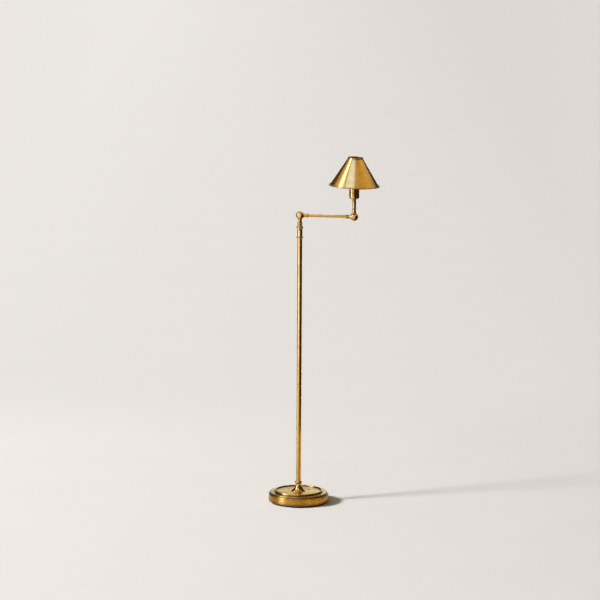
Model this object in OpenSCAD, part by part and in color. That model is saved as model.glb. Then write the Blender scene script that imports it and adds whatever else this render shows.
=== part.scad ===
// Bridge floor lamp: weighted round base, brass column, swivelling neck,
// a short arm between two ball knuckles, and a metal cone shade on its lampholder.
// Origin: centre of the pad's underside. +Z up, +X along the arm as it stands.
// All sizes in millimetres.

/* [Foot pad and cover] */
// Thickness of the felt pad that the lamp stands on
pad_t = 3; // [2:0.5:5]
// How far the pad's edge lies inside the side of the base
pad_inset = 10; // [7:0.5:14]
// Thickness of the steel cover under the weight
cover_t = 1.5; // [1:0.25:2.5]
// Number of screws that hold the cover
cover_screws_n = 3; // [3:1:6]

/* [Base shell] */
// Outside diameter of the base
base_d = 241; // [232:1:270]
// Height of the drum's upper edge above the floor
drum_top = 38; // [36:1:48]
// Thickness of the spun brass
shell_t = 1.2; // [0.8:0.1:1.5]
// Height of the skirt's lower edge above the floor
skirt_lift = 8; // [7:0.5:10]
// Diameter of the bead rolled along the skirt's lower edge
hem_d = 3.6; // [3:0.2:4.4]
// Width of the ledge round the top of the drum
ledge_w = 5; // [4:0.5:8]
// Height of the flat ring above the drum
ring_rise = 5.5; // [4:0.5:8]
// Width of the flat ring
ring_w = 19; // [15:1:24]
// Height of the raised rim above the flat ring
rim_rise = 7.5; // [6:0.5:10]
// Width of the raised rim
rim_w = 7; // [6:0.5:9]
// Depth of the inner plate below the top of the rim
plate_drop = 4.5; // [3:0.5:5.5]
// Rounding of the steps' edges
edge_r = 1.8; // [1.6:0.1:2.4]

/* [Base weight] */
// Clearance between the iron weight and the shell
weight_gap = 1; // [0.5:0.25:2]
// Width of the weight's flange that shows below the skirt, measured in from the side
flange_inset = 8; // [6:0.5:12]
// Depth of the ring-shaped recess under the weight
weight_recess_h = 12; // [8:1:16]
// Thickness of iron left above the lock nut
weight_web = 13; // [10:1:16]
// Radius of the pocket for the lock nut
pocket_r = 18; // [15:1:22]
// Width of the lead's channel through the weight
channel_w = 10; // [8:1:14]

/* [Plate screws] */
// Number of screws through the inner plate
plate_screws_n = 3; // [3:1:4]
// Diameter of their circle
plate_screw_circle = 94; // [80:2:110]
// Thread diameter of the plate screws
plate_screw_d = 4; // [3:0.5:5]
// Head diameter of the plate screws
plate_head_d = 8.5; // [7.5:0.5:10]
// Angle of the first plate screw from the arm
plate_screw_turn = 37; // [0:1:119]

/* [Column foot] */
// Diameter of the foot's skirt on the plate
foot_d = 58; // [48:1:66]
// Thickness of the skirt's edge
foot_lip = 1.5; // [1:0.25:3]
// Wall of the foot round the column at its neck
foot_wall = 2; // [1.5:0.25:4]
// Height of the neck above the plate
foot_neck_h = 28; // [26:1:34]
// Height of the straight part between the neck and the bead
foot_rise = 5; // [3:0.5:8]
// How far the bead at the foot's top stands out from the column
foot_bead_out = 5; // [4.5:0.25:7]
// Height of that bead
foot_bead_h = 7; // [5:0.5:9]
// Depth of the socket that the column stands in
foot_socket = 20; // [14:1:24]

/* [Column] */
// Outside diameter of the column tube
column_d = 19; // [19:0.5:23]
// Wall of the column tube
column_t = 1.2; // [0.8:0.1:1.2]
// Height of the bare column's top, where the swivel collar begins
collar_z = 1080; // [900:10:1300]
// Height of the collar's lower ring
collar_ring_h = 5; // [4:0.5:8]
// How far the rings stand out from the sleeve
ring_out = 3.7; // [3:0.1:5]
// Wall of the sleeve over the column
sleeve_t = 1; // [0.8:0.1:1.6]
// Length of the sleeve above the lower ring
sleeve_h = 33; // [30:1:45]

/* [Swivel] */
// Thread diameter of the hollow tie tube and nipples
nipple_d = 10; // [9:0.5:10]
// Bore of the tie tube and nipples
nipple_bore = 6.8; // [6:0.2:7]
// Running clearance of a pin or spindle in its bore
run_gap = 0.05; // [0.03:0.01:0.08]
// Clearance of a fixed piece in its seat
seat_gap = 0.03; // [0.01:0.01:0.05]
// Length of the bronze bush in the column's top
bush_h = 28; // [20:1:28]
// Depth of the stop's track in the top of the bush
track_h = 4; // [3:0.5:6]
// Thickness of the nylon shim under the turning cap
shim_t = 1; // [0.5:0.25:1.5]
// Diameter of the swivel's stop pin
swivel_pin_d = 1.8; // [1.4:0.2:1.8]
// Width of the stop lug as an angle
lug_angle = 12; // [8:1:14]
// Thickness of the hex nuts
nut_h = 5; // [4:0.5:6]
// Thickness of the plain washers
washer_t = 1.2; // [1:0.1:2]

/* [Turning cap] */
// Height of the turned cap above the shim
cap_h = 23; // [20:1:30]
// Height of its ring
cap_ring_h = 7; // [6:0.5:8]
// Diameter at the pinch above the ring
pinch_d = 19; // [18:0.5:20]
// Diameter of the bead above the pinch
cap_bead_d = 21; // [20.5:0.5:24]
// Height of that bead
cap_bead_h = 7; // [5:0.5:7]

/* [Knuckles] */
// Diameter of the two balls
ball_d = 32.2; // [31.4:0.2:36]
// Thickness of the fibre washer in a ball's seam
friction_t = 0.6; // [0.4:0.1:1]
// Gap between one half's shank and the other half's ball
ball_gap = 0.3; // [0.2:0.05:0.5]
// Diameter of the pivot screw
pivot_d = 6; // [5:0.25:6]
// Diameter of the pivot screw's head and of its nut
pivot_head_d = 12.4; // [11:0.2:12.6]
// Clearance round the head in its counterbore
pivot_head_gap = 0.4; // [0.2:0.1:0.6]
// Depth from the seam to the counterbore's floor
pivot_seat = 10.5; // [9.5:0.25:10.5]
// Height of the pivot screw's head and of its nut
pivot_head_h = 2.7; // [2:0.1:3]
// Thickness of the spring washer under the head
spring_t = 0.8; // [0.5:0.1:1]
// Diameter of a knuckle's stop pin
knuckle_pin_d = 2.4; // [2:0.2:2.6]
// Distance of the stop pin from the pivot
knuckle_pin_r = 9.4; // [9:0.2:10]
// Largest angle that a knuckle opens from where it stands
knuckle_open = 90; // [60:5:90]
// Largest angle that a knuckle closes from where it stands
knuckle_close = 20; // [10:5:20]

/* [Necks and stem] */
// Length of the neck under the first ball, from its centre
neck_len = 30; // [29:1:40]
// Diameter of that neck at its slimmest
neck_d = 15.8; // [15:0.2:16.4]
// Diameter of the second ball's neck at its slimmest
head_neck_d = 14.5; // [14:0.1:15.5]
// Height of the second ball's neck, from its centre
head_neck_len = 36; // [35:1:44]
// Diameter of the bead on that neck
head_bead_d = 18; // [17:0.5:21]
// Height of that bead
head_bead_h = 5.5; // [4:0.5:6]
// Diameter of the stem
stem_d = 15.2; // [14:0.2:17]
// Length of the stem
stem_len = 36; // [32:1:60]
// Diameter of the flare under the lampholder
stem_flare_d = 20; // [18.5:0.5:24]

/* [Arm] */
// Distance between the centres of the two balls
arm_span = 218.5; // [160:0.5:400]
// Diameter of the arm tube
arm_d = 11; // [10:0.25:12]
// Wall of the arm tube
arm_t = 1.1; // [0.8:0.1:1.2]
// Diameter of the arm's necks beside the balls
arm_neck_d = 14.5; // [14:0.1:15.5]
// Distance from a ball's centre to the slimmest part of its neck
arm_neck_at = 20; // [19:0.5:21]
// Diameter of the arm's turned rings
arm_ring_d = 17.5; // [16.5:0.5:18.5]
// Length of a turned ring
arm_ring_h = 3.8; // [3:0.2:5]
// Distance from a ball's centre to the middle of the ring
arm_ring_at = 29.5; // [28:0.5:34]
// Length of the lip where the tube enters
arm_lip_h = 2.4; // [2:0.2:4]
// Depth that the tube goes into each collar
arm_socket = 10; // [8:0.5:10]

/* [Lampholder] */
// Diameter of the lampholder
holder_d = 40; // [39.5:0.5:44]
// Wall of the lampholder's brass cup and shell
holder_t = 1.2; // [0.8:0.1:1.4]
// Height of the cup
cup_h = 24; // [22:1:30]
// Rounding of the cup's lower edge
cup_round = 8; // [4:0.5:9]
// Height of the shell above the cup
shell_h = 38; // [36:1:44]
// Depth of the shell's spigot in the cup
spigot_h = 8; // [6:0.5:10]
// Thickness of a shade ring nut
ring_nut_h = 5; // [4:0.5:7]
// How far a ring nut stands out from the shell
ring_nut_out = 4; // [3:0.5:6]
// Height of the lower ring nut above the cup
ring_nut_at = 24; // [20:1:24]

/* [Bulb] */
// Diameter of the glass
bulb_d = 60; // [55:1:64]
// Height of the glass's widest part above the foot of the cap
bulb_widest_at = 76; // [70:1:80]
// Diameter of the screw cap
bulb_cap_d = 26; // [25.6:0.2:26.2]
// Height of the screw cap
bulb_cap_h = 20; // [18:1:22]
// Thickness of the glass
glass_t = 0.8; // [0.6:0.1:1.2]

/* [Shade] */
// How far the lip stands out beyond the cone
lip_reach = 6; // [3:0.5:14]
// Diameter of the cone where it meets the lip
cone_d = 194; // [180:1:198]
// Diameter of the collar at the top
collar_d = 61.5; // [50:0.5:70]
// Height of the collar at the top
collar_h = 5; // [4:0.5:12]
// Height of the whole shade
shade_h = 114.5; // [105:0.5:130]
// Thickness of the shade's sheet
shade_t = 0.9; // [0.7:0.1:1.2]
// Diameter of the wired edge along the lip
wire_d = 4.4; // [3:0.2:6]
// Height of the spider's hub above the bottom of the lip
hub_lift = 0.5; // [0:0.5:4]
// Lean of the shade, away from the column
shade_lean = 2; // [0:0.5:3]

/* [Shade spider] */
// Thickness of the spider's hub
hub_t = 3; // [2.5:0.25:4]
// Width of the hub round the lampholder
hub_w = 6; // [5:0.5:9]
// Number of the spider's arms
spider_n = 3; // [3:1:4]
// Width of a spider arm
strap_w = 8; // [6:0.5:12]
// Thickness of a spider arm
strap_t = 1.6; // [1.2:0.2:2.4]
// Height of the tabs' lower ends above the lip's bottom
tab_at = 12; // [10:1:20]
// Length of a tab along the cone
tab_h = 10; // [8:1:16]

/* [Lead] */
// Diameter of the lead inside the lamp
lead_d = 4; // [3.4:0.2:4]
// Height of the lead's inlet above the skirt's bead
inlet_lift = 8.4; // [7.8:0.2:10]
// Diameter of the inlet grommet's body
grommet_d = 9; // [8:0.5:10]
// Bore of the inlet grommet
grommet_bore = 5.6; // [4.6:0.2:6]

/* [Hidden] */

// Brass, iron and the rest as they look in the photograph
brass_colour = "#b98a3c";
steel_colour = "#9a9a9c";
iron_colour = "#1d1b1a";
felt_colour = "#16161a";
rubber_colour = "#202020";
bronze_colour = "#a9753a";
nylon_colour = "#e4e0d4";
fibre_colour = "#7a3b22";
ceramic_colour = "#f0ece2";
glass_colour = "#f6f2ea";
lead_colour = "#3a3026";

// Faces round a turned piece, overlap of joined pieces, and how far a cut runs on outside
fine = 96;
tiny = 0.01;
over = 1;

// Small details of the real pieces that no other size follows
inner_round = 0.3;
cover_margin = 1;
recess_from = 10;
recess_to = 26;
slot_w = 1.2;
plate_slot_d = 1.1;
screw_slot_d = 1.2;
nut_slot_d = 1;
screw_short = 0.6;
tie_out = 2;
nut_wall = 3;
tie_washer_w = 10;
foot_hollow_w = 4;
grommet_lip = 2.4;
grommet_barb = 1;
grommet_play = 0.05;
track_land = 1.3;
pin_short = 1;
nipple_out = 1;
pinch_rise = 6;
neck_foot_in = 0.3;
flare_sunk = 0.2;
groove_land = 3.9;
groove_w = 5.5;
slot_spare = 1.5;
slot_floor = 0.4;
slot_gap = 0.15;
way_gap = 0.3;
way_short = 0.5;
way_over = 4;
shim_margin = 0.5;
washer_margin = 0.2;
sleeve_round = 0.4;
cap_land = 0.5;
cap_cove_in = 2;
arm_land = 0.6;
arm_lip_out = 1.6;
arm_ring_in = 0.9;
arm_ring_sunk = 0.3;
arm_socket_wall = 1.1;
head_bead_rise = 0.2;
head_bead_in = 1;
head_bead_sunk = 0.4;
head_bore_short = 5;
stem_bead_out = 0.6;
stem_bead_drop = 7;
stem_bead_h = 3;
stem_lip_h = 0.8;
stem_flare_h = 5;
body_out = 4;
rim_wall = 1.6;
contact_foot_r = 5;
contact_r = 2.5;
contact_t = 1;
socket_flange = 2;
socket_short = 0.5;
strap_gap = 0.3;
bulb_neck_gap = 0.7;
bulb_tip_h = 3;
bulb_tip_r = 4.5;
bulb_tip_t = 1;
bulb_insulator_r = 9;
bulb_thread_in = 0.4;
bulb_thread_pitch = 4;
bulb_thread_w = 2.4;

// Base
base_r = base_d / 2;
ring_r = base_r - ledge_w;
rim_r = ring_r - ring_w;
plate_r = rim_r - rim_w;
ring_top = drum_top + ring_rise;
rim_top = ring_top + rim_rise;
plate_z = rim_top - plate_drop;
weight_top = plate_z - shell_t;
cover_top = pad_t + cover_t;
cover_r = base_r - flange_inset - cover_margin;
pocket_top = weight_top - weight_web;
weight_r = base_r - hem_d - weight_gap;
recess_in = pocket_r + recess_from;
recess_out = base_r - recess_to;
cover_screw_r = (recess_out + base_r - flange_inset) / 2;
cover_screw_d = 4;
cover_screw_head_d = 7.6;
cover_screw_len = 12;
plate_screw_len = 10;
plate_head_h = 2.2;
screw_clear = 0.1;

// Tie tube, its nut and washer, and the column's plug
nipple_r = nipple_d / 2;
nipple_bore_r = nipple_bore / 2;
tie_foot = pocket_top - washer_t - nut_h - tie_out;
foot_z = plate_z;
foot_neck_r = column_d / 2 + foot_wall;
foot_top = foot_z + foot_neck_h + foot_rise + foot_bead_h;
socket_z = foot_top - foot_socket;
plug_h = 16;
tie_top = socket_z + plug_h;
nut_flats = nipple_d + nut_wall;
tie_washer_r = nipple_r + tie_washer_w;
foot_hollow_h = 8;
foot_hollow_r = foot_neck_r + foot_hollow_w;
inlet_z = skirt_lift + hem_d + inlet_lift;
grommet_flange = 1.6;
grommet_r = grommet_d / 2 - seat_gap;
grommet_deep = shell_t + pow(grommet_r + grommet_barb, 2) / (2 * base_r) + grommet_play;

// Column, collar and swivel
column_r = column_d / 2;
column_in = column_r - column_t;
sleeve_r = column_r + sleeve_t;
collar_ring_r = sleeve_r + ring_out;
sleeve_top = collar_z + collar_ring_h + sleeve_h;
column_top = sleeve_top - track_h;
bush_z = sleeve_top - bush_h;
cap_z = sleeve_top + shim_t;
cap_top = cap_z + cap_h;
track_in = nipple_r + track_land;
swivel_pin_r = (track_in + column_in) / 2;
swivel_pin_drop = track_h - pin_short;
nipple_foot = bush_z - washer_t - nut_h - nipple_out;
swivel_pin_sunk = 8;
pinch_r = pinch_d / 2;
pinch_z = cap_ring_h + pinch_rise;
neck_spigot_r = 6.4;
neck_spigot_h = 8;
neck_foot_r = pinch_r - neck_foot_in;
nipple_top = cap_top - neck_spigot_h;

// Knuckles, in a frame of their own: the ball's centre is the origin, the pivot lies
// along Y, and a half has its ball on the +Y side and its shank along +Z
ball_r = ball_d / 2;
ball_1_z = cap_top + neck_len;
ball_2_z = ball_1_z;
seam = friction_t / 2;
pivot_r = pivot_d / 2;
pivot_head_r = pivot_head_d / 2;
flare_r = 9.4;
flare_at = sqrt(pow(ball_r, 2) - pow(flare_r, 2)) - flare_sunk;
wide_bore_r = 4.9;
wide_bore_at = 17.6;
groove_in = pivot_r + groove_land;
groove_out = groove_in + groove_w;
groove_deep = 5.8;
groove_from = 65;
groove_span = 175;
pin_r = knuckle_pin_d / 2;
pin_angle = -45;
pin_out = 2.6;
pin_in = 5;
slot_margin = asin(pin_r / knuckle_pin_r) + slot_spare;
slot_from = pin_angle - knuckle_close - slot_margin;
slot_span = knuckle_open + knuckle_close + 2 * slot_margin;
slot_deep = pin_out + slot_floor;

// The lead's way through a half: off the middle inside the shank, then along the diagonal
// to the seam, where it meets the other half's lead
lead_r = lead_d / 2;
way_r = 2.6;
way_off = seam + lead_r + way_gap;
way_meet = 6.5;
way_bend = way_off - way_short;
way_turn = 2 * way_meet;

// Slimmest places of the two upright necks, from the balls' centres
neck_slim_at = 21;
head_slim_at = 24.5;

// Arm
arm_r = arm_d / 2;
arm_collar_end = arm_ring_at + arm_ring_h / 2 + arm_land + arm_lip_h;
arm_tube_from = arm_collar_end - arm_socket;

// Stem and lampholder, as heights above the floor
stem_r = stem_d / 2;
stem_z = ball_2_z + head_neck_len;
cup_z = stem_z + stem_len;
head_spigot_h = 10;
holder_r = holder_d / 2;
cup_top = cup_z + cup_h;
shell_top = cup_top + shell_h;
spigot_r = holder_r - holder_t - seat_gap;
spigot_in = spigot_r - holder_t;
spigot_z = cup_top - spigot_h;
holder_in = holder_r - holder_t;
ledge_z = cup_top + holder_t;
body_z = spigot_z - body_out;
body_gap = 0.3;
body_top = ledge_z + body_out;
terminal_at = 9;
terminal_d = 3;
terminal_in = 5;
terminal_head_h = 2;
rim_in = bulb_cap_d / 2 + rim_wall;
liner_t = 0.8;
socket_gap = 0.2;
socket_t = 0.6;
contact_h = 7;
bulb_z = body_top + contact_h;
ring_nut_r = holder_r + ring_nut_out;
ring_nut_z = cup_top + ring_nut_at;
hub_z = ring_nut_z + ring_nut_h;
hub_r = holder_r + hub_w;

// Bulb: a round head, a hollow flank of radius flank_r and a straight neck
bulb_r = bulb_d / 2;
bulb_neck_r = bulb_cap_d / 2 - bulb_neck_gap;
flank_r = 45;
bulb_centre = bulb_z + bulb_widest_at;
flank_drop = sqrt(pow(bulb_r + flank_r, 2) - pow(bulb_neck_r + flank_r, 2));
flank_turn = acos((bulb_neck_r + flank_r) / (bulb_r + flank_r));
bulb_cap_z = bulb_z + bulb_tip_h;
bulb_cap_t = 0.6;
bulb_neck_in = 9;

// Shade, measured up from the bottom of its lip, about the hub's middle
cone_r = cone_d / 2;
lip_r = cone_r + lip_reach;
collar_r = collar_d / 2;
wire_r = wire_d / 2;
cone_foot = wire_r + shade_t / 2;
cone_top = shade_h - collar_h;
cone_slope = (cone_r - collar_r) / (cone_top - cone_foot);
wall_across = shade_t * sqrt(1 + pow(cone_slope, 2));
shade_z = hub_z - hub_lift;

// Radius of the cone's inner face at a height above the lip's bottom
function cone_in(z) = cone_r - (z - cone_foot) * cone_slope - wall_across;

// Points of an arc about [x, y]
function arc(x, y, r, from, to, steps) =
  [for (i = [0:steps]) let (a = from + (to - from) * i / steps) [x + r * cos(a), y + r * sin(a)]];

// Unit vector along v
function unit(v) = v / norm(v);

// Direction of a route at its point i
function heading(route, i) =
  unit(route[min(i + 1, len(route) - 1)] - route[max(i - 1, 0)]);

// Side directions along a route, each turned as little as possible from the one before
function sides(route, i = 0, last = [1, 0.3, 0.1]) =
  i >= len(route) ? [] :
  let (t = heading(route, i), s = unit(last - t * (t * last)))
  concat([s], sides(route, i + 1, s));

// A round tube along a route of points
module tube_along(route, r, n = 8) {
  side = sides(route);
  rings = [for (i = [0:len(route) - 1])
    let (t = heading(route, i), u = side[i], v = cross(t, u))
    for (k = [0:n - 1]) route[i] + r * (cos(360 * k / n) * u + sin(360 * k / n) * v)];
  last = (len(route) - 1) * n;
  polyhedron(rings, concat(
    [[for (k = [0:n - 1]) k]],
    [[for (k = [0:n - 1]) last + n - 1 - k]],
    [for (i = [0:len(route) - 2], k = [0:n - 1])
      [i * n + k, (i + 1) * n + k, (i + 1) * n + (k + 1) % n, i * n + (k + 1) % n]]
  ));
}

// Everything turned about Z is drawn as a half section: x is the radius, y the height
module turned() {
  rotate_extrude($fn = fine) children();
}

// Half section of a disc
module disc(r, from, to) {
  translate([0, from]) square([r, to - from]);
}

// Half section of a disc with a half-round edge, high h, about height z
module bead(r, z, h) {
  disc(r - h / 2, z - h / 2, z + h / 2);
  translate([r - h / 2, z]) circle(h / 2, $fn = fine);
}

// Half section of a hollow sweep from a wide radius to a slim one, upright at the slim end
module cove(wide, wide_z, slim, slim_z) {
  sweep = (pow(wide - slim, 2) + pow(wide_z - slim_z, 2)) / (2 * (wide - slim));
  difference() {
    disc(wide, min(wide_z, slim_z), max(wide_z, slim_z));
    translate([slim + sweep, slim_z]) circle(sweep, $fn = fine);
  }
}

// Half section of a disc with its upper edge rounded
module step_disc(r, from, to, round_r) {
  disc(r - round_r, from, to);
  disc(r, from, to - round_r);
  translate([r - round_r, to - round_r]) circle(round_r, $fn = fine);
}

// Repeats its child n times on a circle
module around(n, r, first = 0) {
  for (i = [0:n - 1]) rotate([0, 0, first + i * 360 / n]) translate([r, 0, 0]) children();
}

// Hex nut with its thread bored away, standing on z = 0
module hex_nut(flats, h, bore_r) {
  difference() {
    cylinder(r = flats / sqrt(3), h = h, $fn = 6);
    translate([0, 0, -over]) cylinder(r = bore_r, h = h + 2 * over, $fn = fine);
  }
}

// Round washer, standing on z = 0
module washer(r, h, bore_r) {
  difference() {
    cylinder(r = r, h = h, $fn = fine);
    translate([0, 0, -over]) cylinder(r = bore_r, h = h + 2 * over, $fn = fine);
  }
}

// Hollow threaded tube between two heights
module nipple(from, to) {
  translate([0, 0, from]) washer(nipple_r, to - from, nipple_bore_r);
}

// ---- Base ----

module foot_pad() {
  color(felt_colour) cylinder(r = base_r - pad_inset, h = pad_t, $fn = fine);
}

module cover_screw_places() {
  around(cover_screws_n, cover_screw_r, 60) children();
}

// Countersunk screw with its head's flat at z = 0, grown all round by gap
module cover_screw(gap) {
  cylinder(r1 = cover_screw_head_d / 2 + gap, r2 = cover_screw_d / 2 + gap, h = cover_t, $fn = fine);
  translate([0, 0, cover_t - tiny])
    cylinder(r = cover_screw_d / 2 + gap, h = cover_screw_len + gap, $fn = fine);
}

module cover_plate() {
  color(iron_colour) difference() {
    translate([0, 0, pad_t]) cylinder(r = cover_r, h = cover_t, $fn = fine);
    cover_screw_places() translate([0, 0, pad_t]) cover_screw(screw_clear);
  }
}

module cover_screws() {
  color(steel_colour) cover_screw_places() translate([0, 0, pad_t]) cover_screw(0);
}

module base_weight() {
  color(iron_colour) difference() {
    turned() difference() {
      union() {
        disc(base_r - flange_inset, cover_top, skirt_lift);
        disc(weight_r, cover_top, drum_top - shell_t - weight_gap);
        disc(ring_r - shell_t - weight_gap, cover_top, ring_top - shell_t - weight_gap);
        disc(plate_r - weight_gap, cover_top, weight_top);
      }
      disc(nipple_r + screw_clear, 0, weight_top + over);
      disc(pocket_r, 0, pocket_top);
      translate([recess_in, 0]) square([recess_out - recess_in, cover_top + weight_recess_h]);
      // Below the skirt only the flange reaches out
      translate([base_r - flange_inset, 0]) square([flange_inset, skirt_lift]);
    }
    translate([-channel_w / 2, 0, 0]) cube([channel_w, base_r, inlet_z + channel_w / 2]);
    cover_screw_places() translate([0, 0, pad_t]) cover_screw(seat_gap);
    plate_screw_places() plate_screw_hole(weight_top, seat_gap);
  }
}

// Half section of the base's form, drawn in by inset all round
module base_form(inset) {
  round_r = max(edge_r - inset, inner_round);
  step_disc(base_r - inset, 0, drum_top - inset, round_r);
  step_disc(ring_r - inset, 0, ring_top - inset, round_r);
  disc(rim_r - inset, 0, plate_z - inset);
  translate([plate_r + inset, 0])
    square([rim_w - 2 * inset, rim_top - rim_w / 2]);
  translate([plate_r + rim_w / 2, rim_top - rim_w / 2])
    circle(rim_w / 2 - inset, $fn = fine);
}

module base_shell() {
  color(brass_colour) difference() {
    turned() {
      difference() {
        base_form(0);
        base_form(shell_t);
        translate([-over, -over]) square([base_d, skirt_lift + hem_d / 2 + over]);
      }
      translate([base_r - hem_d / 2, skirt_lift + hem_d / 2]) circle(hem_d / 2, $fn = fine);
    }
    cylinder(r = nipple_r + screw_clear, h = base_d, $fn = fine);
    plate_screw_places() plate_screw_hole(plate_z + over, screw_clear);
    translate([0, base_r, inlet_z]) rotate([90, 0, 0])
      cylinder(r = grommet_d / 2, h = base_r / 4, center = true, $fn = fine);
  }
}

module plate_screw_places() {
  around(plate_screws_n, plate_screw_circle / 2, plate_screw_turn) children();
}

// Hole for a plate screw, down from a height and wider by gap
module plate_screw_hole(from, gap) {
  translate([0, 0, weight_top - plate_screw_len])
    cylinder(r = plate_screw_d / 2 + gap, h = from - weight_top + plate_screw_len + over, $fn = fine);
}

module plate_screws() {
  head_r = plate_head_d / 2;
  dome_r = (pow(head_r, 2) + pow(plate_head_h, 2)) / (2 * plate_head_h);
  color(brass_colour) plate_screw_places() difference() {
    union() {
      translate([0, 0, weight_top - plate_screw_len])
        cylinder(r = plate_screw_d / 2, h = plate_screw_len + shell_t + tiny, $fn = fine);
      intersection() {
        translate([0, 0, plate_z + plate_head_h - dome_r]) sphere(dome_r, $fn = fine);
        translate([0, 0, plate_z]) cylinder(r = head_r, h = plate_head_h, $fn = fine);
      }
    }
    translate([-head_r, -slot_w / 2, plate_z + plate_head_h - plate_slot_d])
      cube([plate_head_d, slot_w, plate_slot_d + over]);
  }
}

module cord_grommet() {
  color(rubber_colour) translate([0, base_r, inlet_z]) rotate([90, 0, 0]) difference() {
    union() {
      // Outer flange, neck through the skirt, inner flange
      translate([0, 0, -grommet_flange])
        cylinder(r = grommet_r + grommet_lip, h = grommet_flange, $fn = fine);
      cylinder(r = grommet_r, h = grommet_deep + tiny, $fn = fine);
      translate([0, 0, grommet_deep])
        cylinder(r = grommet_r + grommet_barb, h = grommet_flange, $fn = fine);
    }
    translate([0, 0, -2 * grommet_flange])
      cylinder(r = grommet_bore / 2, h = 8 * grommet_flange, $fn = fine);
  }
}

module tie_tube() {
  color(steel_colour) nipple(tie_foot, tie_top);
}

module tie_washer() {
  color(steel_colour) translate([0, 0, pocket_top - washer_t])
    washer(tie_washer_r, washer_t, nipple_r + seat_gap);
}

module tie_nut() {
  color(steel_colour) translate([0, 0, pocket_top - washer_t - nut_h])
    hex_nut(nut_flats, nut_h, nipple_r + seat_gap);
}

// ---- Column ----

module column_foot() {
  color(brass_colour) translate([0, 0, foot_z]) turned() difference() {
    union() {
      disc(foot_d / 2, 0, foot_lip);
      cove(foot_d / 2, foot_lip, foot_neck_r, foot_neck_h);
      disc(foot_neck_r, foot_neck_h, foot_top - foot_z - foot_bead_h / 2);
      bead(column_r + foot_bead_out, foot_top - foot_z - foot_bead_h / 2, foot_bead_h);
    }
    disc(foot_hollow_r, -over, foot_hollow_h);
    disc(nipple_r + screw_clear, 0, foot_top - foot_z);
    disc(column_r + seat_gap, socket_z - foot_z, foot_top - foot_z + over);
  }
}

module column_plug() {
  color(brass_colour) translate([0, 0, socket_z]) washer(column_in - seat_gap, plug_h, nipple_r + seat_gap);
}

module column_tube() {
  color(brass_colour) translate([0, 0, socket_z]) washer(column_r, column_top - socket_z, column_in);
}

module column_collar() {
  color(brass_colour) turned() difference() {
    union() {
      bead(collar_ring_r, collar_z + collar_ring_h / 2, collar_ring_h);
      step_disc(sleeve_r, collar_z, sleeve_top, sleeve_round);
    }
    disc(column_r + seat_gap, collar_z - over, column_top);
    disc(column_in, column_top - over, sleeve_top + over);
  }
}

module swivel_bush() {
  color(bronze_colour) difference() {
    translate([0, 0, bush_z]) washer(column_in - seat_gap, bush_h, nipple_r + run_gap);
    // The stop pin's track, all round but for the lug opposite the pin
    translate([0, 0, sleeve_top - track_h]) rotate([0, 0, 180 + lug_angle / 2])
      rotate_extrude(angle = 360 - lug_angle, $fn = fine)
        translate([track_in, 0]) square([column_in, track_h + over]);
  }
}

// ---- Swivel ----

module swivel_shim() {
  color(nylon_colour) difference() {
    translate([0, 0, sleeve_top]) washer(sleeve_r - shim_margin, shim_t, nipple_r + screw_clear);
    swivel_stop_form(screw_clear);
  }
}

module swivel_cap() {
  bead_z = cap_h - cap_bead_h / 2 - cap_land;
  ring_z = cap_ring_h / 2 + cap_land;
  color(brass_colour) difference() {
    translate([0, 0, cap_z]) turned() difference() {
      union() {
        disc(sleeve_r, 0, ring_z);
        bead(collar_ring_r, ring_z, cap_ring_h);
        cove(collar_ring_r - cap_cove_in, cap_ring_h - cap_land, pinch_r, pinch_z);
        disc(pinch_r, pinch_z, bead_z);
        bead(cap_bead_d / 2, bead_z, cap_bead_h);
        disc(neck_foot_r, bead_z, cap_h);
      }
      disc(nipple_r + seat_gap, -over, cap_h);
      disc(neck_spigot_r + seat_gap, nipple_top - cap_z, cap_h + over);
    }
    swivel_stop_form(seat_gap);
  }
}

// The swivel's stop pin, grown by gap
module swivel_stop_form(gap) {
  translate([swivel_pin_r, 0, sleeve_top - swivel_pin_drop])
    cylinder(r = swivel_pin_d / 2 + gap, h = swivel_pin_drop + shim_t + swivel_pin_sunk, $fn = fine);
}

module swivel_stop_pin() {
  color(steel_colour) swivel_stop_form(0);
}

module swivel_nipple() {
  color(steel_colour) nipple(nipple_foot, nipple_top);
}

module swivel_washer() {
  color(steel_colour) translate([0, 0, bush_z - washer_t])
    washer(column_in - shim_margin, washer_t, nipple_r + seat_gap);
}

module swivel_nut() {
  color(steel_colour) translate([0, 0, bush_z - washer_t - nut_h])
    hex_nut(nut_flats, nut_h, nipple_r + seat_gap);
}

// ---- Knuckles ----

// Puts a half in place on the first ball, its shank down the column
module at_ball_1() {
  translate([0, 0, ball_1_z]) rotate([0, 180, 0]) children();
}

// Puts a half in place on the second ball, its shank up the stem
module at_ball_2() {
  translate([arm_span, 0, ball_2_z]) children();
}

// Turns a half over on to the -Y side, its shank along the arm
module other_half() {
  rotate([180, 0, 0]) rotate([0, -90, 0]) children();
}

// A cylinder along Y from one depth to another
module along_y(r, from, to) {
  translate([0, to, 0]) rotate([90, 0, 0]) cylinder(r = r, h = to - from, $fn = fine);
}

// Part of a ring about the pivot, between two radii and two depths
module pivot_ring(r_in, r_out, from, to, start, span) {
  rotate([90, 0, 0]) rotate([0, 0, start]) rotate_extrude(angle = span, $fn = fine)
    translate([r_in, -to]) square([r_out - r_in, to - from]);
}

// Where the stop pin stands in a half
module at_pin() {
  translate([knuckle_pin_r * cos(pin_angle), 0, knuckle_pin_r * sin(pin_angle)]) children();
}

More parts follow.
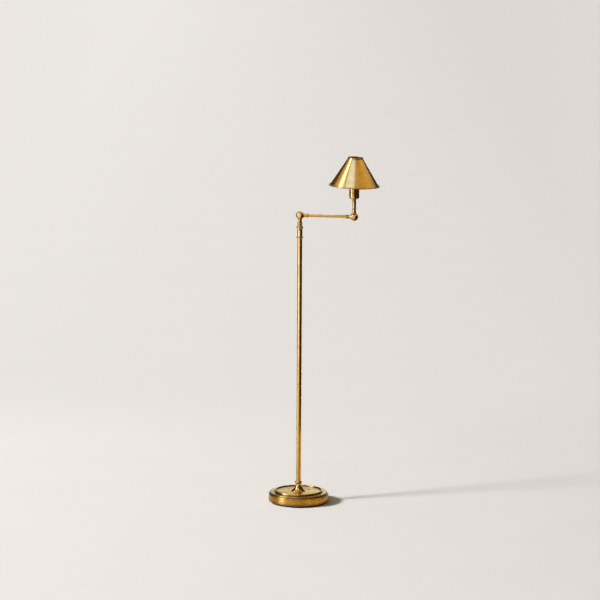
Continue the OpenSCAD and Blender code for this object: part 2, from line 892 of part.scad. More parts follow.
// One half of a knuckle with the shank whose half section is its child.
// The half either holds the stop pin or has the slot that the pin runs in.
module knuckle_half(has_slot) {
  room = 2 * ball_r;
  difference() {
    union() {
      intersection() {
        sphere(ball_r, $fn = fine);
        translate([-room, seam, -room]) cube(2 * room);
      }
      difference() {
        turned() children();
        intersection() {
          sphere(ball_r + ball_gap, $fn = fine);
          translate([-room, seam - 2 * room, -room]) cube(2 * room);
        }
      }
    }
    along_y(pivot_r + run_gap, -tiny, ball_r);
    along_y(pivot_head_r + pivot_head_gap, pivot_seat, room);
    pivot_ring(groove_in, groove_out, 0, groove_deep, groove_from, groove_span);
    if (has_slot) {
      pivot_ring(knuckle_pin_r - pin_r - slot_gap, knuckle_pin_r + pin_r + slot_gap,
        0, slot_deep, slot_from, slot_span);
    } else {
      at_pin() along_y(pin_r + seat_gap, 0, pin_in);
    }
    // The lead's way: off the middle of the shank, then along the diagonal to the seam
    translate([0, way_off, way_turn - way_over])
      cylinder(r = way_r, h = wide_bore_at + 1.5 * way_over - way_turn, $fn = fine);
    translate([0, way_off, way_turn]) rotate([0, -135, 0])
      cylinder(r = way_r, h = way_turn / sqrt(2), $fn = fine);
  }
}

// Half section of a shank from the ball out to its slimmest place and on to an end
module shank(slim_r, slim_at, end_r, end_at) {
  cove(flare_r, flare_at, slim_r, slim_at);
  cove(end_r, end_at, slim_r, slim_at);
}

module pivot_screw() {
  color(brass_colour) difference() {
    union() {
      along_y(pivot_r, -pivot_seat - spring_t - tiny, pivot_seat + pivot_head_h - screw_short);
      along_y(pivot_head_r, -pivot_seat - spring_t - pivot_head_h, -pivot_seat - spring_t);
    }
    translate([-pivot_head_r, -pivot_seat - spring_t - pivot_head_h - over, -slot_w / 2])
      cube([pivot_head_d, over + screw_slot_d, slot_w]);
  }
}

module pivot_nut() {
  color(brass_colour) difference() {
    along_y(pivot_head_r, pivot_seat, pivot_seat + pivot_head_h);
    along_y(pivot_r + seat_gap, pivot_seat - over, pivot_seat + pivot_head_h + over);
    translate([-pivot_head_r, pivot_seat + pivot_head_h - nut_slot_d, -slot_w / 2])
      cube([pivot_head_d, nut_slot_d + over, slot_w]);
  }
}

module spring_washer() {
  color(steel_colour) difference() {
    along_y(pivot_head_r - washer_margin, -pivot_seat - spring_t, -pivot_seat);
    along_y(pivot_r + screw_clear, -pivot_seat - spring_t - over, over - pivot_seat);
  }
}

module friction_washer() {
  color(fibre_colour) difference() {
    along_y(groove_in - washer_margin, -seam, seam);
    along_y(pivot_r + screw_clear, -over, over);
  }
}

module stop_pin() {
  color(steel_colour) at_pin() along_y(pin_r, -pin_out, pin_in);
}

module column_knuckle() {
  color(brass_colour) at_ball_1() difference() {
    knuckle_half(false) {
      shank(neck_d / 2, neck_slim_at, neck_foot_r, neck_len);
      disc(neck_spigot_r, neck_len - over, neck_len + neck_spigot_h);
    }
    translate([0, 0, wide_bore_at]) cylinder(r = wide_bore_r, h = neck_len, $fn = fine);
  }
}

module arm_pivot_screw() at_ball_1() pivot_screw();
module arm_pivot_nut() at_ball_1() pivot_nut();
module arm_spring_washer() at_ball_1() spring_washer();
module arm_friction_washer() at_ball_1() friction_washer();
module arm_stop_pin() at_ball_1() stop_pin();
module head_pivot_screw() at_ball_2() pivot_screw();
module head_pivot_nut() at_ball_2() pivot_nut();
module head_spring_washer() at_ball_2() spring_washer();
module head_friction_washer() at_ball_2() friction_washer();
module head_stop_pin() at_ball_2() stop_pin();

// ---- Arm ----

// The half ball, neck, ring and lip at either end of the arm
module arm_half() {
  ring_from = arm_ring_at - arm_ring_h / 2;
  ring_to = arm_ring_at + arm_ring_h / 2;
  lip_r_out = arm_r + arm_lip_out;
  color(brass_colour) other_half() difference() {
    knuckle_half(true) {
      shank(arm_neck_d / 2, arm_neck_at, arm_ring_d / 2 - arm_ring_in, ring_from + arm_ring_sunk);
      bead(arm_ring_d / 2, arm_ring_at, arm_ring_h);
      disc(arm_r + arm_socket_wall, arm_ring_at, arm_collar_end - arm_lip_h / 2);
      bead(lip_r_out, arm_collar_end - arm_lip_h / 2, arm_lip_h);
    }
    translate([0, 0, wide_bore_at])
      cylinder(r = wide_bore_r, h = ring_to - wide_bore_at, $fn = fine);
    translate([0, 0, arm_tube_from]) cylinder(r = arm_r + seat_gap, h = arm_span / 4, $fn = fine);
  }
}

module arm_knuckle_inner() at_ball_1() arm_half();
module arm_knuckle_outer() at_ball_2() arm_half();

module arm_tube() {
  color(brass_colour) translate([arm_tube_from, 0, ball_1_z]) rotate([0, 90, 0])
    washer(arm_r, arm_span - 2 * arm_tube_from, arm_r - arm_t);
}

// ---- Head ----

// Puts what is drawn about the Z axis on the head's axis
module on_head() {
  translate([arm_span, 0, 0]) children();
}

module head_knuckle() {
  bead_at = head_neck_len - head_bead_h / 2 - head_bead_rise;
  color(brass_colour) at_ball_2() difference() {
    knuckle_half(false) {
      shank(head_neck_d / 2, head_slim_at,
        head_bead_d / 2 - head_bead_in, bead_at - head_bead_h / 2 + head_bead_sunk);
      bead(head_bead_d / 2, bead_at, head_bead_h);
      disc(stem_r, bead_at, head_neck_len);
      disc(nipple_r, bead_at, head_neck_len + head_spigot_h);
    }
    translate([0, 0, wide_bore_at])
      cylinder(r = wide_bore_r, h = head_neck_len - head_bore_short - wide_bore_at, $fn = fine);
    translate([0, 0, wide_bore_at])
      cylinder(r = nipple_bore_r, h = head_neck_len + head_spigot_h, $fn = fine);
  }
}

module stem() {
  color(brass_colour) on_head() translate([0, 0, stem_z]) turned() difference() {
    union() {
      disc(stem_r, 0, stem_len);
      bead(stem_r + stem_bead_out, stem_len - stem_bead_drop, stem_bead_h);
      cove(stem_flare_d / 2, stem_len - stem_lip_h, stem_r, stem_len - stem_flare_h);
      disc(stem_flare_d / 2, stem_len - stem_lip_h, stem_len);
    }
    disc(nipple_r + seat_gap, -over, stem_len + over);
  }
}

module holder_nipple() {
  color(steel_colour) on_head() nipple(cup_z - head_spigot_h, cup_z + holder_t + nut_h + nipple_out);
}

module holder_locknut() {
  color(steel_colour) on_head() translate([0, 0, cup_z + holder_t])
    hex_nut(nut_flats, nut_h, nipple_r + seat_gap);
}

// Half section of a disc with its lower edge rounded
module cup_form(r, from, to, round_r) {
  disc(r - round_r, from, to);
  disc(r, from + round_r, to);
  translate([r - round_r, from + round_r]) circle(round_r, $fn = fine);
}

module holder_cup() {
  color(brass_colour) on_head() turned() difference() {
    cup_form(holder_r, cup_z, cup_top, cup_round);
    cup_form(holder_in, cup_z + holder_t, cup_top + over, cup_round - holder_t);
    disc(nipple_r + screw_clear, cup_z - over, cup_top);
  }
}

module holder_shell() {
  color(brass_colour) on_head() turned() difference() {
    union() {
      disc(holder_r, cup_top, shell_top);
      disc(spigot_r, spigot_z, ledge_z);
    }
    disc(spigot_in, spigot_z - over, ledge_z + over);
    disc(holder_in, ledge_z, shell_top - holder_t);
    disc(rim_in, ledge_z, shell_top + over);
  }
}

module terminal_places() {
  for (side = [-1, 1]) translate([side * terminal_at, 0, body_z]) children();
}

module holder_body() {
  color(ceramic_colour) on_head() difference() {
    turned() {
      disc(spigot_in - body_gap, body_z, body_top);
      disc(holder_in - body_gap, ledge_z, body_top);
    }
    terminal_places() cylinder(r = terminal_d / 2 + seat_gap, h = terminal_in, $fn = fine);
  }
}

module holder_terminals() {
  color(brass_colour) on_head() terminal_places() {
    translate([0, 0, -terminal_head_h])
      cylinder(r = terminal_d, h = terminal_head_h, $fn = fine);
    translate([0, 0, -tiny]) cylinder(r = terminal_d / 2, h = terminal_in, $fn = fine);
  }
}

module holder_contact() {
  color(brass_colour) on_head() turned() {
    disc(contact_foot_r, body_top, body_top + contact_t);
    disc(contact_r, body_top, bulb_z);
  }
}

module holder_screw_shell() {
  in_r = bulb_cap_d / 2 + socket_gap;
  color(brass_colour) on_head() turned() difference() {
    union() {
      disc(in_r + socket_flange, body_top, body_top + socket_t);
      disc(in_r + socket_t, body_top, shell_top - holder_t - socket_short);
    }
    disc(in_r, body_top - over, shell_top);
  }
}

module holder_liner() {
  color(fibre_colour) on_head() turned() difference() {
    disc(holder_in - seat_gap, body_top, shell_top - holder_t);
    disc(holder_in - seat_gap - liner_t, body_top - over, shell_top);
  }
}

module shade_ring_nuts() {
  color(brass_colour) on_head() for (z = [ring_nut_z, hub_z + hub_t]) turned() difference() {
    bead(ring_nut_r, z + ring_nut_h / 2, ring_nut_h);
    disc(holder_r + seat_gap, z - over, z + ring_nut_h + over);
  }
}

// Tilts what is drawn about the head's axis by the shade's lean, about the hub's middle
module leaning() {
  middle = hub_z + hub_t / 2;
  translate([arm_span, 0, middle]) rotate([0, shade_lean, 0])
    translate([0, 0, -middle]) children();
}

module shade_spider() {
  root = [ring_nut_r + strap_gap, hub_lift + hub_t / 2];
  tab_mid = tab_at + tab_h / 2;
  reach = [cone_in(tab_mid) - strap_t, tab_mid] - root;
  tab_span = 2 * asin(strap_w / 2 / cone_in(tab_mid));
  tab_across = strap_t * sqrt(1 + pow(cone_slope, 2));
  color(brass_colour) {
    on_head() translate([0, 0, hub_z]) washer(hub_r, hub_t, holder_r + seat_gap);
    leaning() translate([0, 0, shade_z]) around(spider_n, 0, 90) {
      translate([root[0], 0, root[1]]) rotate([0, -atan2(reach[1], reach[0]), 0])
        translate([0, -strap_w / 2, -strap_t / 2]) cube([norm(reach), strap_w, strap_t]);
      rotate([0, 0, -tab_span / 2]) rotate_extrude(angle = tab_span, $fn = fine) polygon([
        [cone_in(tab_at) - seat_gap, tab_at],
        [cone_in(tab_at + tab_h) - seat_gap, tab_at + tab_h],
        [cone_in(tab_at + tab_h) - seat_gap - tab_across, tab_at + tab_h],
        [cone_in(tab_at) - seat_gap - tab_across, tab_at]
      ]);
    }
  }
}

module shade() {
  low = wire_r - shade_t / 2;
  color(brass_colour) leaning() translate([0, 0, shade_z]) turned() {
    translate([lip_r - wire_r, wire_r]) circle(wire_r, $fn = fine);
    translate([cone_in(low), low]) square([lip_r - wire_r - cone_in(low), shade_t]);
    polygon([
      [cone_in(low), low],
      [cone_in(low) + wall_across, low],
      [collar_r, cone_top],
      [collar_r - wall_across, cone_top]
    ]);
    translate([collar_r - wall_across, cone_top - tiny]) square([wall_across, collar_h + tiny]);
  }
}

// ---- Bulb ----

// Half section of the bulb's glass, drawn in by inset all round
module bulb_form(inset) {
  polygon(concat(
    [[0, bulb_cap_z + bulb_neck_in]],
    [[bulb_neck_r - inset, bulb_cap_z + bulb_neck_in]],
    arc(bulb_neck_r + flank_r, bulb_centre - flank_drop, flank_r + inset, 180, 180 - flank_turn, 8),
    arc(0, bulb_centre, bulb_r - inset, -flank_turn, 90, 20)
  ));
}

module bulb_glass() {
  color(glass_colour) on_head() turned() difference() {
    bulb_form(0);
    bulb_form(glass_t);
  }
}

module bulb_cap() {
  cap_r = bulb_cap_d / 2;
  color(steel_colour) on_head() turned() difference() {
    union() {
      disc(cap_r - bulb_thread_in, bulb_cap_z, bulb_cap_z + bulb_cap_h);
      for (z = [bulb_cap_z + bulb_tip_h:bulb_thread_pitch:bulb_cap_z + bulb_cap_h - bulb_tip_h])
        bead(cap_r, z, bulb_thread_w);
    }
    disc(bulb_neck_r + seat_gap, bulb_cap_z + bulb_cap_t, bulb_cap_z + bulb_cap_h + over);
  }
}

module bulb_contact() {
  color(steel_colour) on_head() turned() {
    disc(bulb_tip_r, bulb_z, bulb_z + bulb_tip_t);
    polygon([
      [0, bulb_z + bulb_tip_t / 2],
      [bulb_tip_r, bulb_z + bulb_tip_t / 2],
      [bulb_insulator_r, bulb_cap_z],
      [0, bulb_cap_z]
    ]);
  }
}

// ---- Lead ----

// The lead's points inside a knuckle's half, from a distance along the shank to the seam
function knuckle_way(from) = concat(
  [
    [0, 0, from],
    [0, 0, 31],
    [0, 0.3, 28.5],
    [0, 1, 25],
    [0, 2, 21.5],
    [0, 2.7, 18.5],
    [0, way_off, 15.5],
    [-0.5, way_off, way_turn],
    [-1.7, way_off, way_turn - 1.8]
  ],
  [for (a = [0:30:90]) let (back = way_bend * (1 - sin(a)) / sqrt(2))
    [back - way_meet, way_off - way_bend + way_bend * cos(a), way_meet + back]],
  [[-way_meet, 0, way_meet]]
);

// The same points in the first ball, in the second ball, and in the arm at either ball
function on_neck(p) = [-p[0], p[1], ball_1_z - p[2]];
function on_stem(p) = [arm_span + p[0], p[1], ball_2_z + p[2]];
function on_arm_inner(p) = [p[2], -p[1], ball_1_z + p[0]];
function on_arm_outer(p) = [arm_span - p[2], -p[1], ball_2_z - p[0]];

module lead_column() {
  low = tie_foot - 12;
  color(lead_colour) tube_along([
    [0, base_r - grommet_deep - grommet_flange, inlet_z],
    [0, base_r - 30, inlet_z],
    [0, base_r - 38, inlet_z - 0.6],
    [0, pocket_r + 14, low + 1.6],
    [0, pocket_r + 4, low + 0.4],
    [0, 14, low],
    [0, 9, low + 0.4],
    [0, 5.4, low + 2],
    [0, 2.6, low + 4.6],
    [0, 0.8, low + 8],
    [0, 0.1, tie_foot],
    [0, 0, tie_foot + 4],
    [0, 0, sleeve_top]
  ], lead_r);
}

module lead_neck() {
  color(lead_colour) tube_along([for (p = knuckle_way(ball_1_z - sleeve_top)) on_neck(p)], lead_r);
}

module lead_arm() {
  way = knuckle_way(40);
  last = len(way) - 1;
  color(lead_colour) tube_along(concat(
    [for (i = [0:last]) on_arm_inner(way[last - i])],
    [for (p = way) on_arm_outer(p)]
  ), lead_r);
}

module lead_head() {
  color(lead_colour) tube_along([for (p = knuckle_way(body_z - ball_2_z)) on_stem(p)], lead_r);
}

foot_pad();
cover_plate();
cover_screws();
base_weight();
base_shell();
plate_screws();
cord_grommet();
tie_tube();
tie_washer();
tie_nut();
column_foot();
column_plug();
column_tube();
column_collar();
swivel_bush();
lead_column();
swivel_shim();
swivel_cap();
swivel_nipple();
swivel_washer();
swivel_nut();
swivel_stop_pin();
column_knuckle();
arm_pivot_screw();
arm_pivot_nut();
arm_spring_washer();
arm_friction_washer();
arm_stop_pin();
lead_neck();
arm_knuckle_inner();
arm_tube();
arm_knuckle_outer();
lead_arm();
head_knuckle();
head_pivot_screw();
head_pivot_nut();
head_spring_washer();
head_friction_washer();
head_stop_pin();
stem();
holder_nipple();
holder_locknut();
holder_cup();
holder_shell();
holder_liner();
holder_body();
holder_terminals();
holder_contact();
holder_screw_shell();
shade_ring_nuts();
shade_spider();
shade();
bulb_cap();
bulb_contact();
bulb_glass();
lead_head();
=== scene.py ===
"""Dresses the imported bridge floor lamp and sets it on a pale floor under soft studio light.

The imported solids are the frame. Turned and spun pieces are made again with finer
surfaces, in the same place and to the same sizes; the rest keep their solids and get
a finish. Sizes are in millimetres until a mesh is made, and then in metres.
"""

from __future__ import annotations

import logging
import math
from dataclasses import dataclass, field
from enum import Enum
from typing import Any, Sequence

import bmesh
import bpy
from mathutils import Matrix, Vector, noise

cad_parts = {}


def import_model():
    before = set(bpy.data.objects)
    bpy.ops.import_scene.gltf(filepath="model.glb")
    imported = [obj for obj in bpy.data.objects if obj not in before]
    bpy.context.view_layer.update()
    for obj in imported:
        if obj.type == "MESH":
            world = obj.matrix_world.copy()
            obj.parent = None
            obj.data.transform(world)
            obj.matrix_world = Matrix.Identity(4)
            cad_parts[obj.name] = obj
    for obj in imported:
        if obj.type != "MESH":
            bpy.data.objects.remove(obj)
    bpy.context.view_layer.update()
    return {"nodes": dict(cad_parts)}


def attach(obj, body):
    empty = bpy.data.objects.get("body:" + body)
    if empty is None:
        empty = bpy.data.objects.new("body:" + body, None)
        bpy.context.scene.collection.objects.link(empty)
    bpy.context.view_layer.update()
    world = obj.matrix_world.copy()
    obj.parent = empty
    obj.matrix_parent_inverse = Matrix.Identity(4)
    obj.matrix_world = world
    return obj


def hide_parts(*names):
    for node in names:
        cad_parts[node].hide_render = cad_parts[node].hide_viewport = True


LOG = logging.getLogger("floor_lamp")
MM = 0.001

Point = tuple[float, float]
Corner = tuple[float, ...]
Colour = tuple[float, float, float, float]
Socket = bpy.types.NodeSocket
Inputs = dict[str | int, Any]

# Distance between the centres of the two balls, and their height, in millimetres
ARM_SPAN = 218.5
BALL_Z = 1172.0
HEAD_CENTRE: Point = (ARM_SPAN, 0.0)
HEAD_AXIS: Point = (ARM_SPAN * MM, 0.0)
ARM_AXIS: Point = (0.0, BALL_Z * MM)

# Radii of the holes that the hollow tubes and nipples pass through, loose and threaded, and
# the gap between pieces that fit over one another, in millimetres
BORE, THREAD_BORE = 5.1, 5.03
FIT = 0.03
# Roundings of edges in millimetres, from a tool's bare mark to the root of a hollow
HAIR, CRISP, ARRIS, EASED, ROOT = 0.1, 0.2, 0.3, 0.4, 0.5

# Distances from a corner at which a flat gets more points, and how far the darkening of a hollow
# corner, partly tarnish and partly painted shade, reaches out of it, in millimetres
FADES = (0.8, 2.0, 4.5, 9.0)
GRIME_AND_SHADE_REACH = 2.2
# The bend in 1/mm from which a corner is hollow enough to hold tarnish and painted shade, and how
# worn an outward bend of 1/mm is, from 0 to 1
HOLLOW_BEND = -0.15
WEAR = 0.9
# Angles between faces, in degrees, from which a corner stays sharp
SHARP_TURNED, SHARP_PACKED = 38.0, 30.0
# Points closer than this, in millimetres, count as one
NOWHERE = 1e-6


# ---- small helpers ----


def linear(code: str) -> Colour:
    """Turns an sRGB hex code into a linear colour.

    Args:
        code: six hex digits, with or without a leading hash.

    Returns:
        Linear red, green, blue and an alpha of 1.
    """
    digits = code.lstrip("#")
    parts = [int(digits[i : i + 2], 16) / 255 for i in (0, 2, 4)]
    low = [p / 12.92 if p <= 0.04045 else ((p + 0.055) / 1.055) ** 2.4 for p in parts]
    return (low[0], low[1], low[2], 1.0)


def per_mm(size: float) -> float:
    """Scale at which a texture's features are size millimetres across."""
    return 1.0 / (size * MM)


def add_node(
    tree: bpy.types.NodeTree, kind: str, inputs: Inputs | None = None, **settings: Any
) -> bpy.types.Node:
    """Adds a node with its settings, its values and its links.

    Args:
        tree: the node tree it goes into.
        kind: Blender's name of the node's type.
        inputs: a value or another node's output for each named or numbered socket.
        **settings: the node's own properties.

    Returns:
        The new node.
    """
    node = tree.nodes.new(kind)
    for name, value in settings.items():
        setattr(node, name, value)
    for key, value in (inputs or {}).items():
        if isinstance(value, bpy.types.NodeSocket):
            tree.links.new(value, node.inputs[key])
        else:
            node.inputs[key].default_value = value
    return node


@dataclass(frozen=True)
class Nodes:
    """Adds the nodes of one tree by what they do, and gives the output that counts.

    Attributes:
        tree: the node tree that they go into.
    """

    tree: bpy.types.NodeTree

    def out(self, kind: str, inputs: Inputs, output: str | int = 0, **settings: Any) -> Socket:
        """Adds any node and gives one of its outputs."""
        return add_node(self.tree, kind, inputs, **settings).outputs[output]

    def place(self) -> Socket:
        """The object's own coordinates, in metres."""
        return self.out("ShaderNodeTexCoord", {}, "Object")

    def noise(
        self, place: Socket, size: float, detail: float, rough: float = 0.5, bent: float = 0.0
    ) -> Socket:
        """Random mottling, from 0 to 1.

        Args:
            place: the coordinates that it follows.
            size: how many millimetres its features are across.
            detail: number of finer layers.
            rough: weight of the finer layers, from 0 to 1.
            bent: how far the features are pulled out of shape.

        Returns:
            The mottling.
        """
        sockets = {"Vector": place, "Scale": per_mm(size), "Detail": detail, "Roughness": rough}
        return self.out("ShaderNodeTexNoise", sockets | {"Distortion": bent}, "Fac")

    def fit(
        self, value: Socket, span: Point = (0.0, 1.0), to: Point = (0.0, 1.0), **settings: Any
    ) -> Socket:
        """Takes what a value does over a span to another span, and holds it at its ends."""
        ends = {"From Min": span[0], "From Max": span[1], "To Min": to[0], "To Max": to[1]}
        return self.out("ShaderNodeMapRange", {"Value": value} | ends, **settings)

    def maths(self, operation: str, *values: Any, **settings: Any) -> Socket:
        """A sum by Blender's name for it."""
        inputs = dict(enumerate(values))
        return self.out("ShaderNodeMath", inputs, operation=operation, **settings)

    def vector(self, operation: str, *values: Any) -> Socket:
        """A sum with vectors. A length and a dot product come out as a value."""
        output = 1 if operation in ("LENGTH", "DOT_PRODUCT") else 0
        inputs = dict(enumerate(values))
        return self.out("ShaderNodeVectorMath", inputs, output, operation=operation)

    def mix(self, share: Socket, first: Any, last: Any) -> Socket:
        """The colour that a share picks between two."""
        return self.out("ShaderNodeMix", {0: share, 6: first, 7: last}, 2, data_type="RGBA")

    def bump(self, height: Socket, strength: float, deep: float, **under: Socket) -> Socket:
        """The normal over a relief that is deep millimetres, on the Normal under it if any."""
        sockets = {"Height": height, "Strength": strength, "Distance": deep * MM}
        return self.out("ShaderNodeBump", sockets | under)


def new_object(name: str, mesh: bpy.types.Mesh) -> bpy.types.Object:
    """Makes an object of a mesh and links it to the scene."""
    made = bpy.data.objects.new(name, mesh)
    bpy.context.scene.collection.objects.link(made)
    return made


def arc(
    cx: float, cz: float, radius: float, start: float, end: float, steps: int = 12
) -> list[Point]:
    """Points along an arc of a half section.

    Args:
        cx: the centre's radius from the axis.
        cz: the centre's height.
        radius: the arc's radius.
        start: angle of the first point, in degrees from outward toward up.
        end: angle of the last point.
        steps: number of chords.

    Returns:
        The points, both ends included.
    """
    turns = [math.radians(start + (end - start) * i / steps) for i in range(steps + 1)]
    return [(cx + radius * math.cos(t), cz + radius * math.sin(t)) for t in turns]


def bead(r: float, z: float, height: float, steps: int = 12) -> list[Point]:
    """Half-round edge of a ring, from its lower to its upper side."""
    return arc(r - height / 2, z, height / 2, -90, 90, steps)


def tube(radius: float, wall: float, low: float, high: float, parts: int) -> list[Point]:
    """Half section of a drawn tube, with its outside in so many parts."""
    heights = [low + (high - low) * i / parts for i in range(parts + 1)]
    return [(radius, h) for h in heights] + [(radius - wall, h) for h in (high, low)]


def cove(wide: float, wide_z: float, slim: float, slim_z: float, steps: int = 16) -> list[Point]:
    """Points of a hollow sweep, from its wide end to its slim end, upright at the slim end.

    Args:
        wide: radius at the wide end.
        wide_z: height of the wide end.
        slim: radius at the slim end.
        slim_z: height of the slim end.
        steps: number of chords.

    Returns:
        The points, both ends included.
    """
    rise = slim_z - wide_z
    sweep = ((wide - slim) ** 2 + rise**2) / (2 * (wide - slim))
    full = math.asin(min(1.0, abs(rise) / sweep))
    way = 1 if rise > 0 else -1
    turns = [full * (1 - i / steps) for i in range(steps + 1)]
    return [(slim + sweep * (1 - math.cos(t)), slim_z - way * sweep * math.sin(t)) for t in turns]


def soften(loop: Sequence[Corner], steps: int = 5) -> list[Point]:
    """Rounds the corners of a closed half section that carry a third value, the radius.

    Args:
        loop: points of two values, or of three where the corner is rounded.
        steps: chords in each rounded corner.

    Returns:
        The closed half section with its corners rounded.
    """
    out: list[Point] = []
    for i, corner in enumerate(loop):
        here = Vector(corner[:2])
        radius = corner[2] if len(corner) > 2 else 0.0
        before = Vector(loop[i - 1][:2]) - here
        after = Vector(loop[(i + 1) % len(loop)][:2]) - here
        if radius <= 0 or min(before.length, after.length) < NOWHERE:
            out.append((here.x, here.y))
            continue
        half = before.angle(after) / 2
        # No rounding takes up more than about half of the flat beside it
        cut = min(radius / math.tan(half), 0.48 * before.length, 0.48 * after.length)
        radius = cut * math.tan(half)
        back, on = before.normalized(), after.normalized()
        middle = here + (back + on).normalized() * (radius / math.sin(half))
        a, b = here + back * cut - middle, here + on * cut - middle
        turn = a.angle_signed(b)
        for k in range(steps + 1):
            sin, cos = math.sin(-turn * k / steps), math.cos(-turn * k / steps)
            out.append((middle.x + a.x * cos - a.y * sin, middle.y + a.x * sin + a.y * cos))
    return out


@dataclass
class Turning:
    """A closed half section turned about an upright axis.

    Attributes:
        loop: the half section, anticlockwise, as radius and height in millimetres.
        segments: faces round the axis.
        centre: the axis's x and y in millimetres.
        out_of_true: how far the surface strays from round, as spun sheet does, in millimetres.
        painted_shade_under: radius and height beyond and under which shade is painted in full.
        knurls: number of knurls round each rim in knurled, or 0.
        knurled: lowest and highest height of the knurled rims.
        knurl_depth: depth of a knurl in millimetres.
    """

    loop: list[Point]
    segments: int = 96
    centre: Point = (0.0, 0.0)
    out_of_true: float = 0.0
    painted_shade_under: Point = (0.0, 0.0)
    knurls: int = 0
    knurled: Point = (0.0, 0.0)
    knurl_depth: float = 0.5

    def _split(self) -> None:
        """Adds points along the long flats of the section, close together near its corners."""
        fine: list[Point] = []
        for i, point in enumerate(self.loop):
            here, there = Vector(point), Vector(self.loop[(i + 1) % len(self.loop)])
            span = (there - here).length
            fine.append(point)
            if span > 2 * FADES[0] and max(here.x, there.x) > 0:
                near = {d for d in FADES if d < span / 2}
                stops = near | {span - d for d in near}
                fine += [tuple(here.lerp(there, d / span)) for d in sorted(stops)]
        self.loop = fine

    def _grime_and_shade(self, bends: list[float]) -> list[float]:
        """How dark each point is, from 0 to 1: tarnish and painted shade in hollows, painted shade
        under an edge.
        """
        corners = zip(self.loop, bends)
        deep = [(Vector(p), min(1.0, -bend)) for p, bend in corners if bend < HOLLOW_BEND]
        found = []
        for r, z in self.loop:
            ways = [((Vector((r, z)) - spot).length, share) for spot, share in deep]
            depths = [share * math.exp(-way / GRIME_AND_SHADE_REACH) for way, share in ways]
            # Painted shade: full darkness under a wired lip or a rolled hem, where only shade falls
            beneath = r > self.painted_shade_under[0] and z < self.painted_shade_under[1]
            found.append(max(depths + [1.0 if beneath else 0.0]))
        return found

    def _bends(self) -> list[float]:
        """How sharply the section bends at each point, in 1/mm, positive where it stands out."""
        found = []
        count = len(self.loop)
        for i in range(count):
            a, b, c = (Vector(self.loop[(i + k) % count]) for k in (-1, 0, 1))
            u, v = b - a, c - b
            if min(u.length, v.length) < NOWHERE:
                found.append(0.0)
                continue
            turn = math.atan2(u.x * v.y - u.y * v.x, u.dot(v))
            # Points closer than a quarter millimetre don't make a bend any sharper
            found.append(turn / max(0.25, (u.length + v.length) / 2))
        return found

    def _stray(self, x: float, y: float, z: float) -> float:
        """Outward error of the surface at a place, in waves of 60 by 45 mm."""
        if not self.out_of_true:
            return 0.0
        return self.out_of_true * noise.noise(Vector((x / 60.0, y / 60.0, z / 45.0)))

    def _spot(self, r: float, z: float, turn: float) -> Vector:
        """Where the surface lies at a turn round the axis, with its knurls and its error."""
        grown = r
        if self.knurls and self.knurled[0] < z < self.knurled[1]:
            grown -= self.knurl_depth * (0.5 - 0.5 * math.cos(turn * self.knurls))
        cos, sin = math.cos(turn), math.sin(turn)
        grown += self._stray(r * cos, r * sin, z)
        return Vector((self.centre[0] + grown * cos, self.centre[1] + grown * sin, z))

    def make(self, name: str, place: Matrix | None = None) -> bpy.types.Object:
        """Makes the turned piece.

        Args:
            name: the object's name.
            place: where the turned piece goes, if it isn't upright where it was drawn.

        Returns:
            The new object, with how far its edges stand out, and the tarnish and painted shade of
            its hollows and undersides, kept as attributes.
        """
        self._split()
        bends = self._bends()
        turns = [2 * math.pi * k / self.segments for k in range(self.segments)]
        verts: list[Vector] = []
        rings: list[list[int]] = []
        worn: list[float] = []
        hollow: list[float] = []
        for (r, z), bend, shade_and_grime in zip(self.loop, bends, self._grime_and_shade(bends)):
            on_axis = r < NOWHERE
            ring = [Vector((*self.centre, z))] if on_axis else [self._spot(r, z, t) for t in turns]
            rings.append([len(verts) + k % len(ring) for k in range(self.segments)])
            verts += ring
            worn += [min(1.0, max(0.0, WEAR * bend))] * len(ring)
            hollow += [shade_and_grime] * len(ring)
        faces = []
        for ring, upper in zip(rings, rings[1:] + rings[:1]):
            for k in range(self.segments):
                n = (k + 1) % self.segments
                face = list(dict.fromkeys([ring[k], ring[n], upper[n], upper[k]]))
                if len(face) > 2:
                    faces.append(face)
        mesh = bpy.data.meshes.new(name)
        mesh.from_pydata([v * MM for v in verts], [], faces)
        for label, values in (("edge_wear", worn), ("hollow", hollow)):
            mesh.attributes.new(label, "FLOAT", "POINT").data.foreach_set("value", values)
        if place is not None:
            mesh.transform(place)
        mesh.validate()
        return smooth_object(name, mesh)


def smooth_object(name: str, mesh: bpy.types.Mesh) -> bpy.types.Object:
    """Makes an object of a mesh, smooth but for its sharp corners."""
    made = bmesh.new()
    made.from_mesh(mesh)
    bmesh.ops.recalc_face_normals(made, faces=made.faces)
    made.to_mesh(mesh)
    made.free()
    mesh.shade_smooth()
    mesh.set_sharp_from_angle(angle=math.radians(SHARP_TURNED))
    return new_object(name, mesh)


# ---- finishes ----


class Working(Enum):
    """How a metal surface was worked last, which sets the way its fine lines run."""

    ROUND_UPRIGHT = "spun, turned or buffed, so the lines run round an upright axis"
    ROUND_LEVEL = "buffed, so the lines run round the arm's level axis"
    BY_HAND = "polished by hand, with no one way"


@dataclass(frozen=True)
class Finish:
    """What a surface is made of and how it was made.

    Attributes:
        name: the material's name.
    """

    name: str

    def material(self) -> bpy.types.Material:
        """Makes the material once and returns it each time it is asked for."""
        found = bpy.data.materials.get(self.name)
        if found:
            return found
        made = bpy.data.materials.new(self.name)
        made.use_nodes = True
        made.node_tree.nodes.clear()
        shader = self._shader(Nodes(made.node_tree))
        add_node(made.node_tree, "ShaderNodeOutputMaterial", {"Surface": shader})
        return made

    def _shader(self, nodes: Nodes) -> Socket:
        """Builds the nodes and returns the output of the shader at their end."""
        raise NotImplementedError

    def dress(self, piece: bpy.types.Object) -> bpy.types.Object:
        """Gives a piece this finish in place of what it had."""
        piece.data.materials.clear()
        piece.data.materials.append(self.material())
        return piece


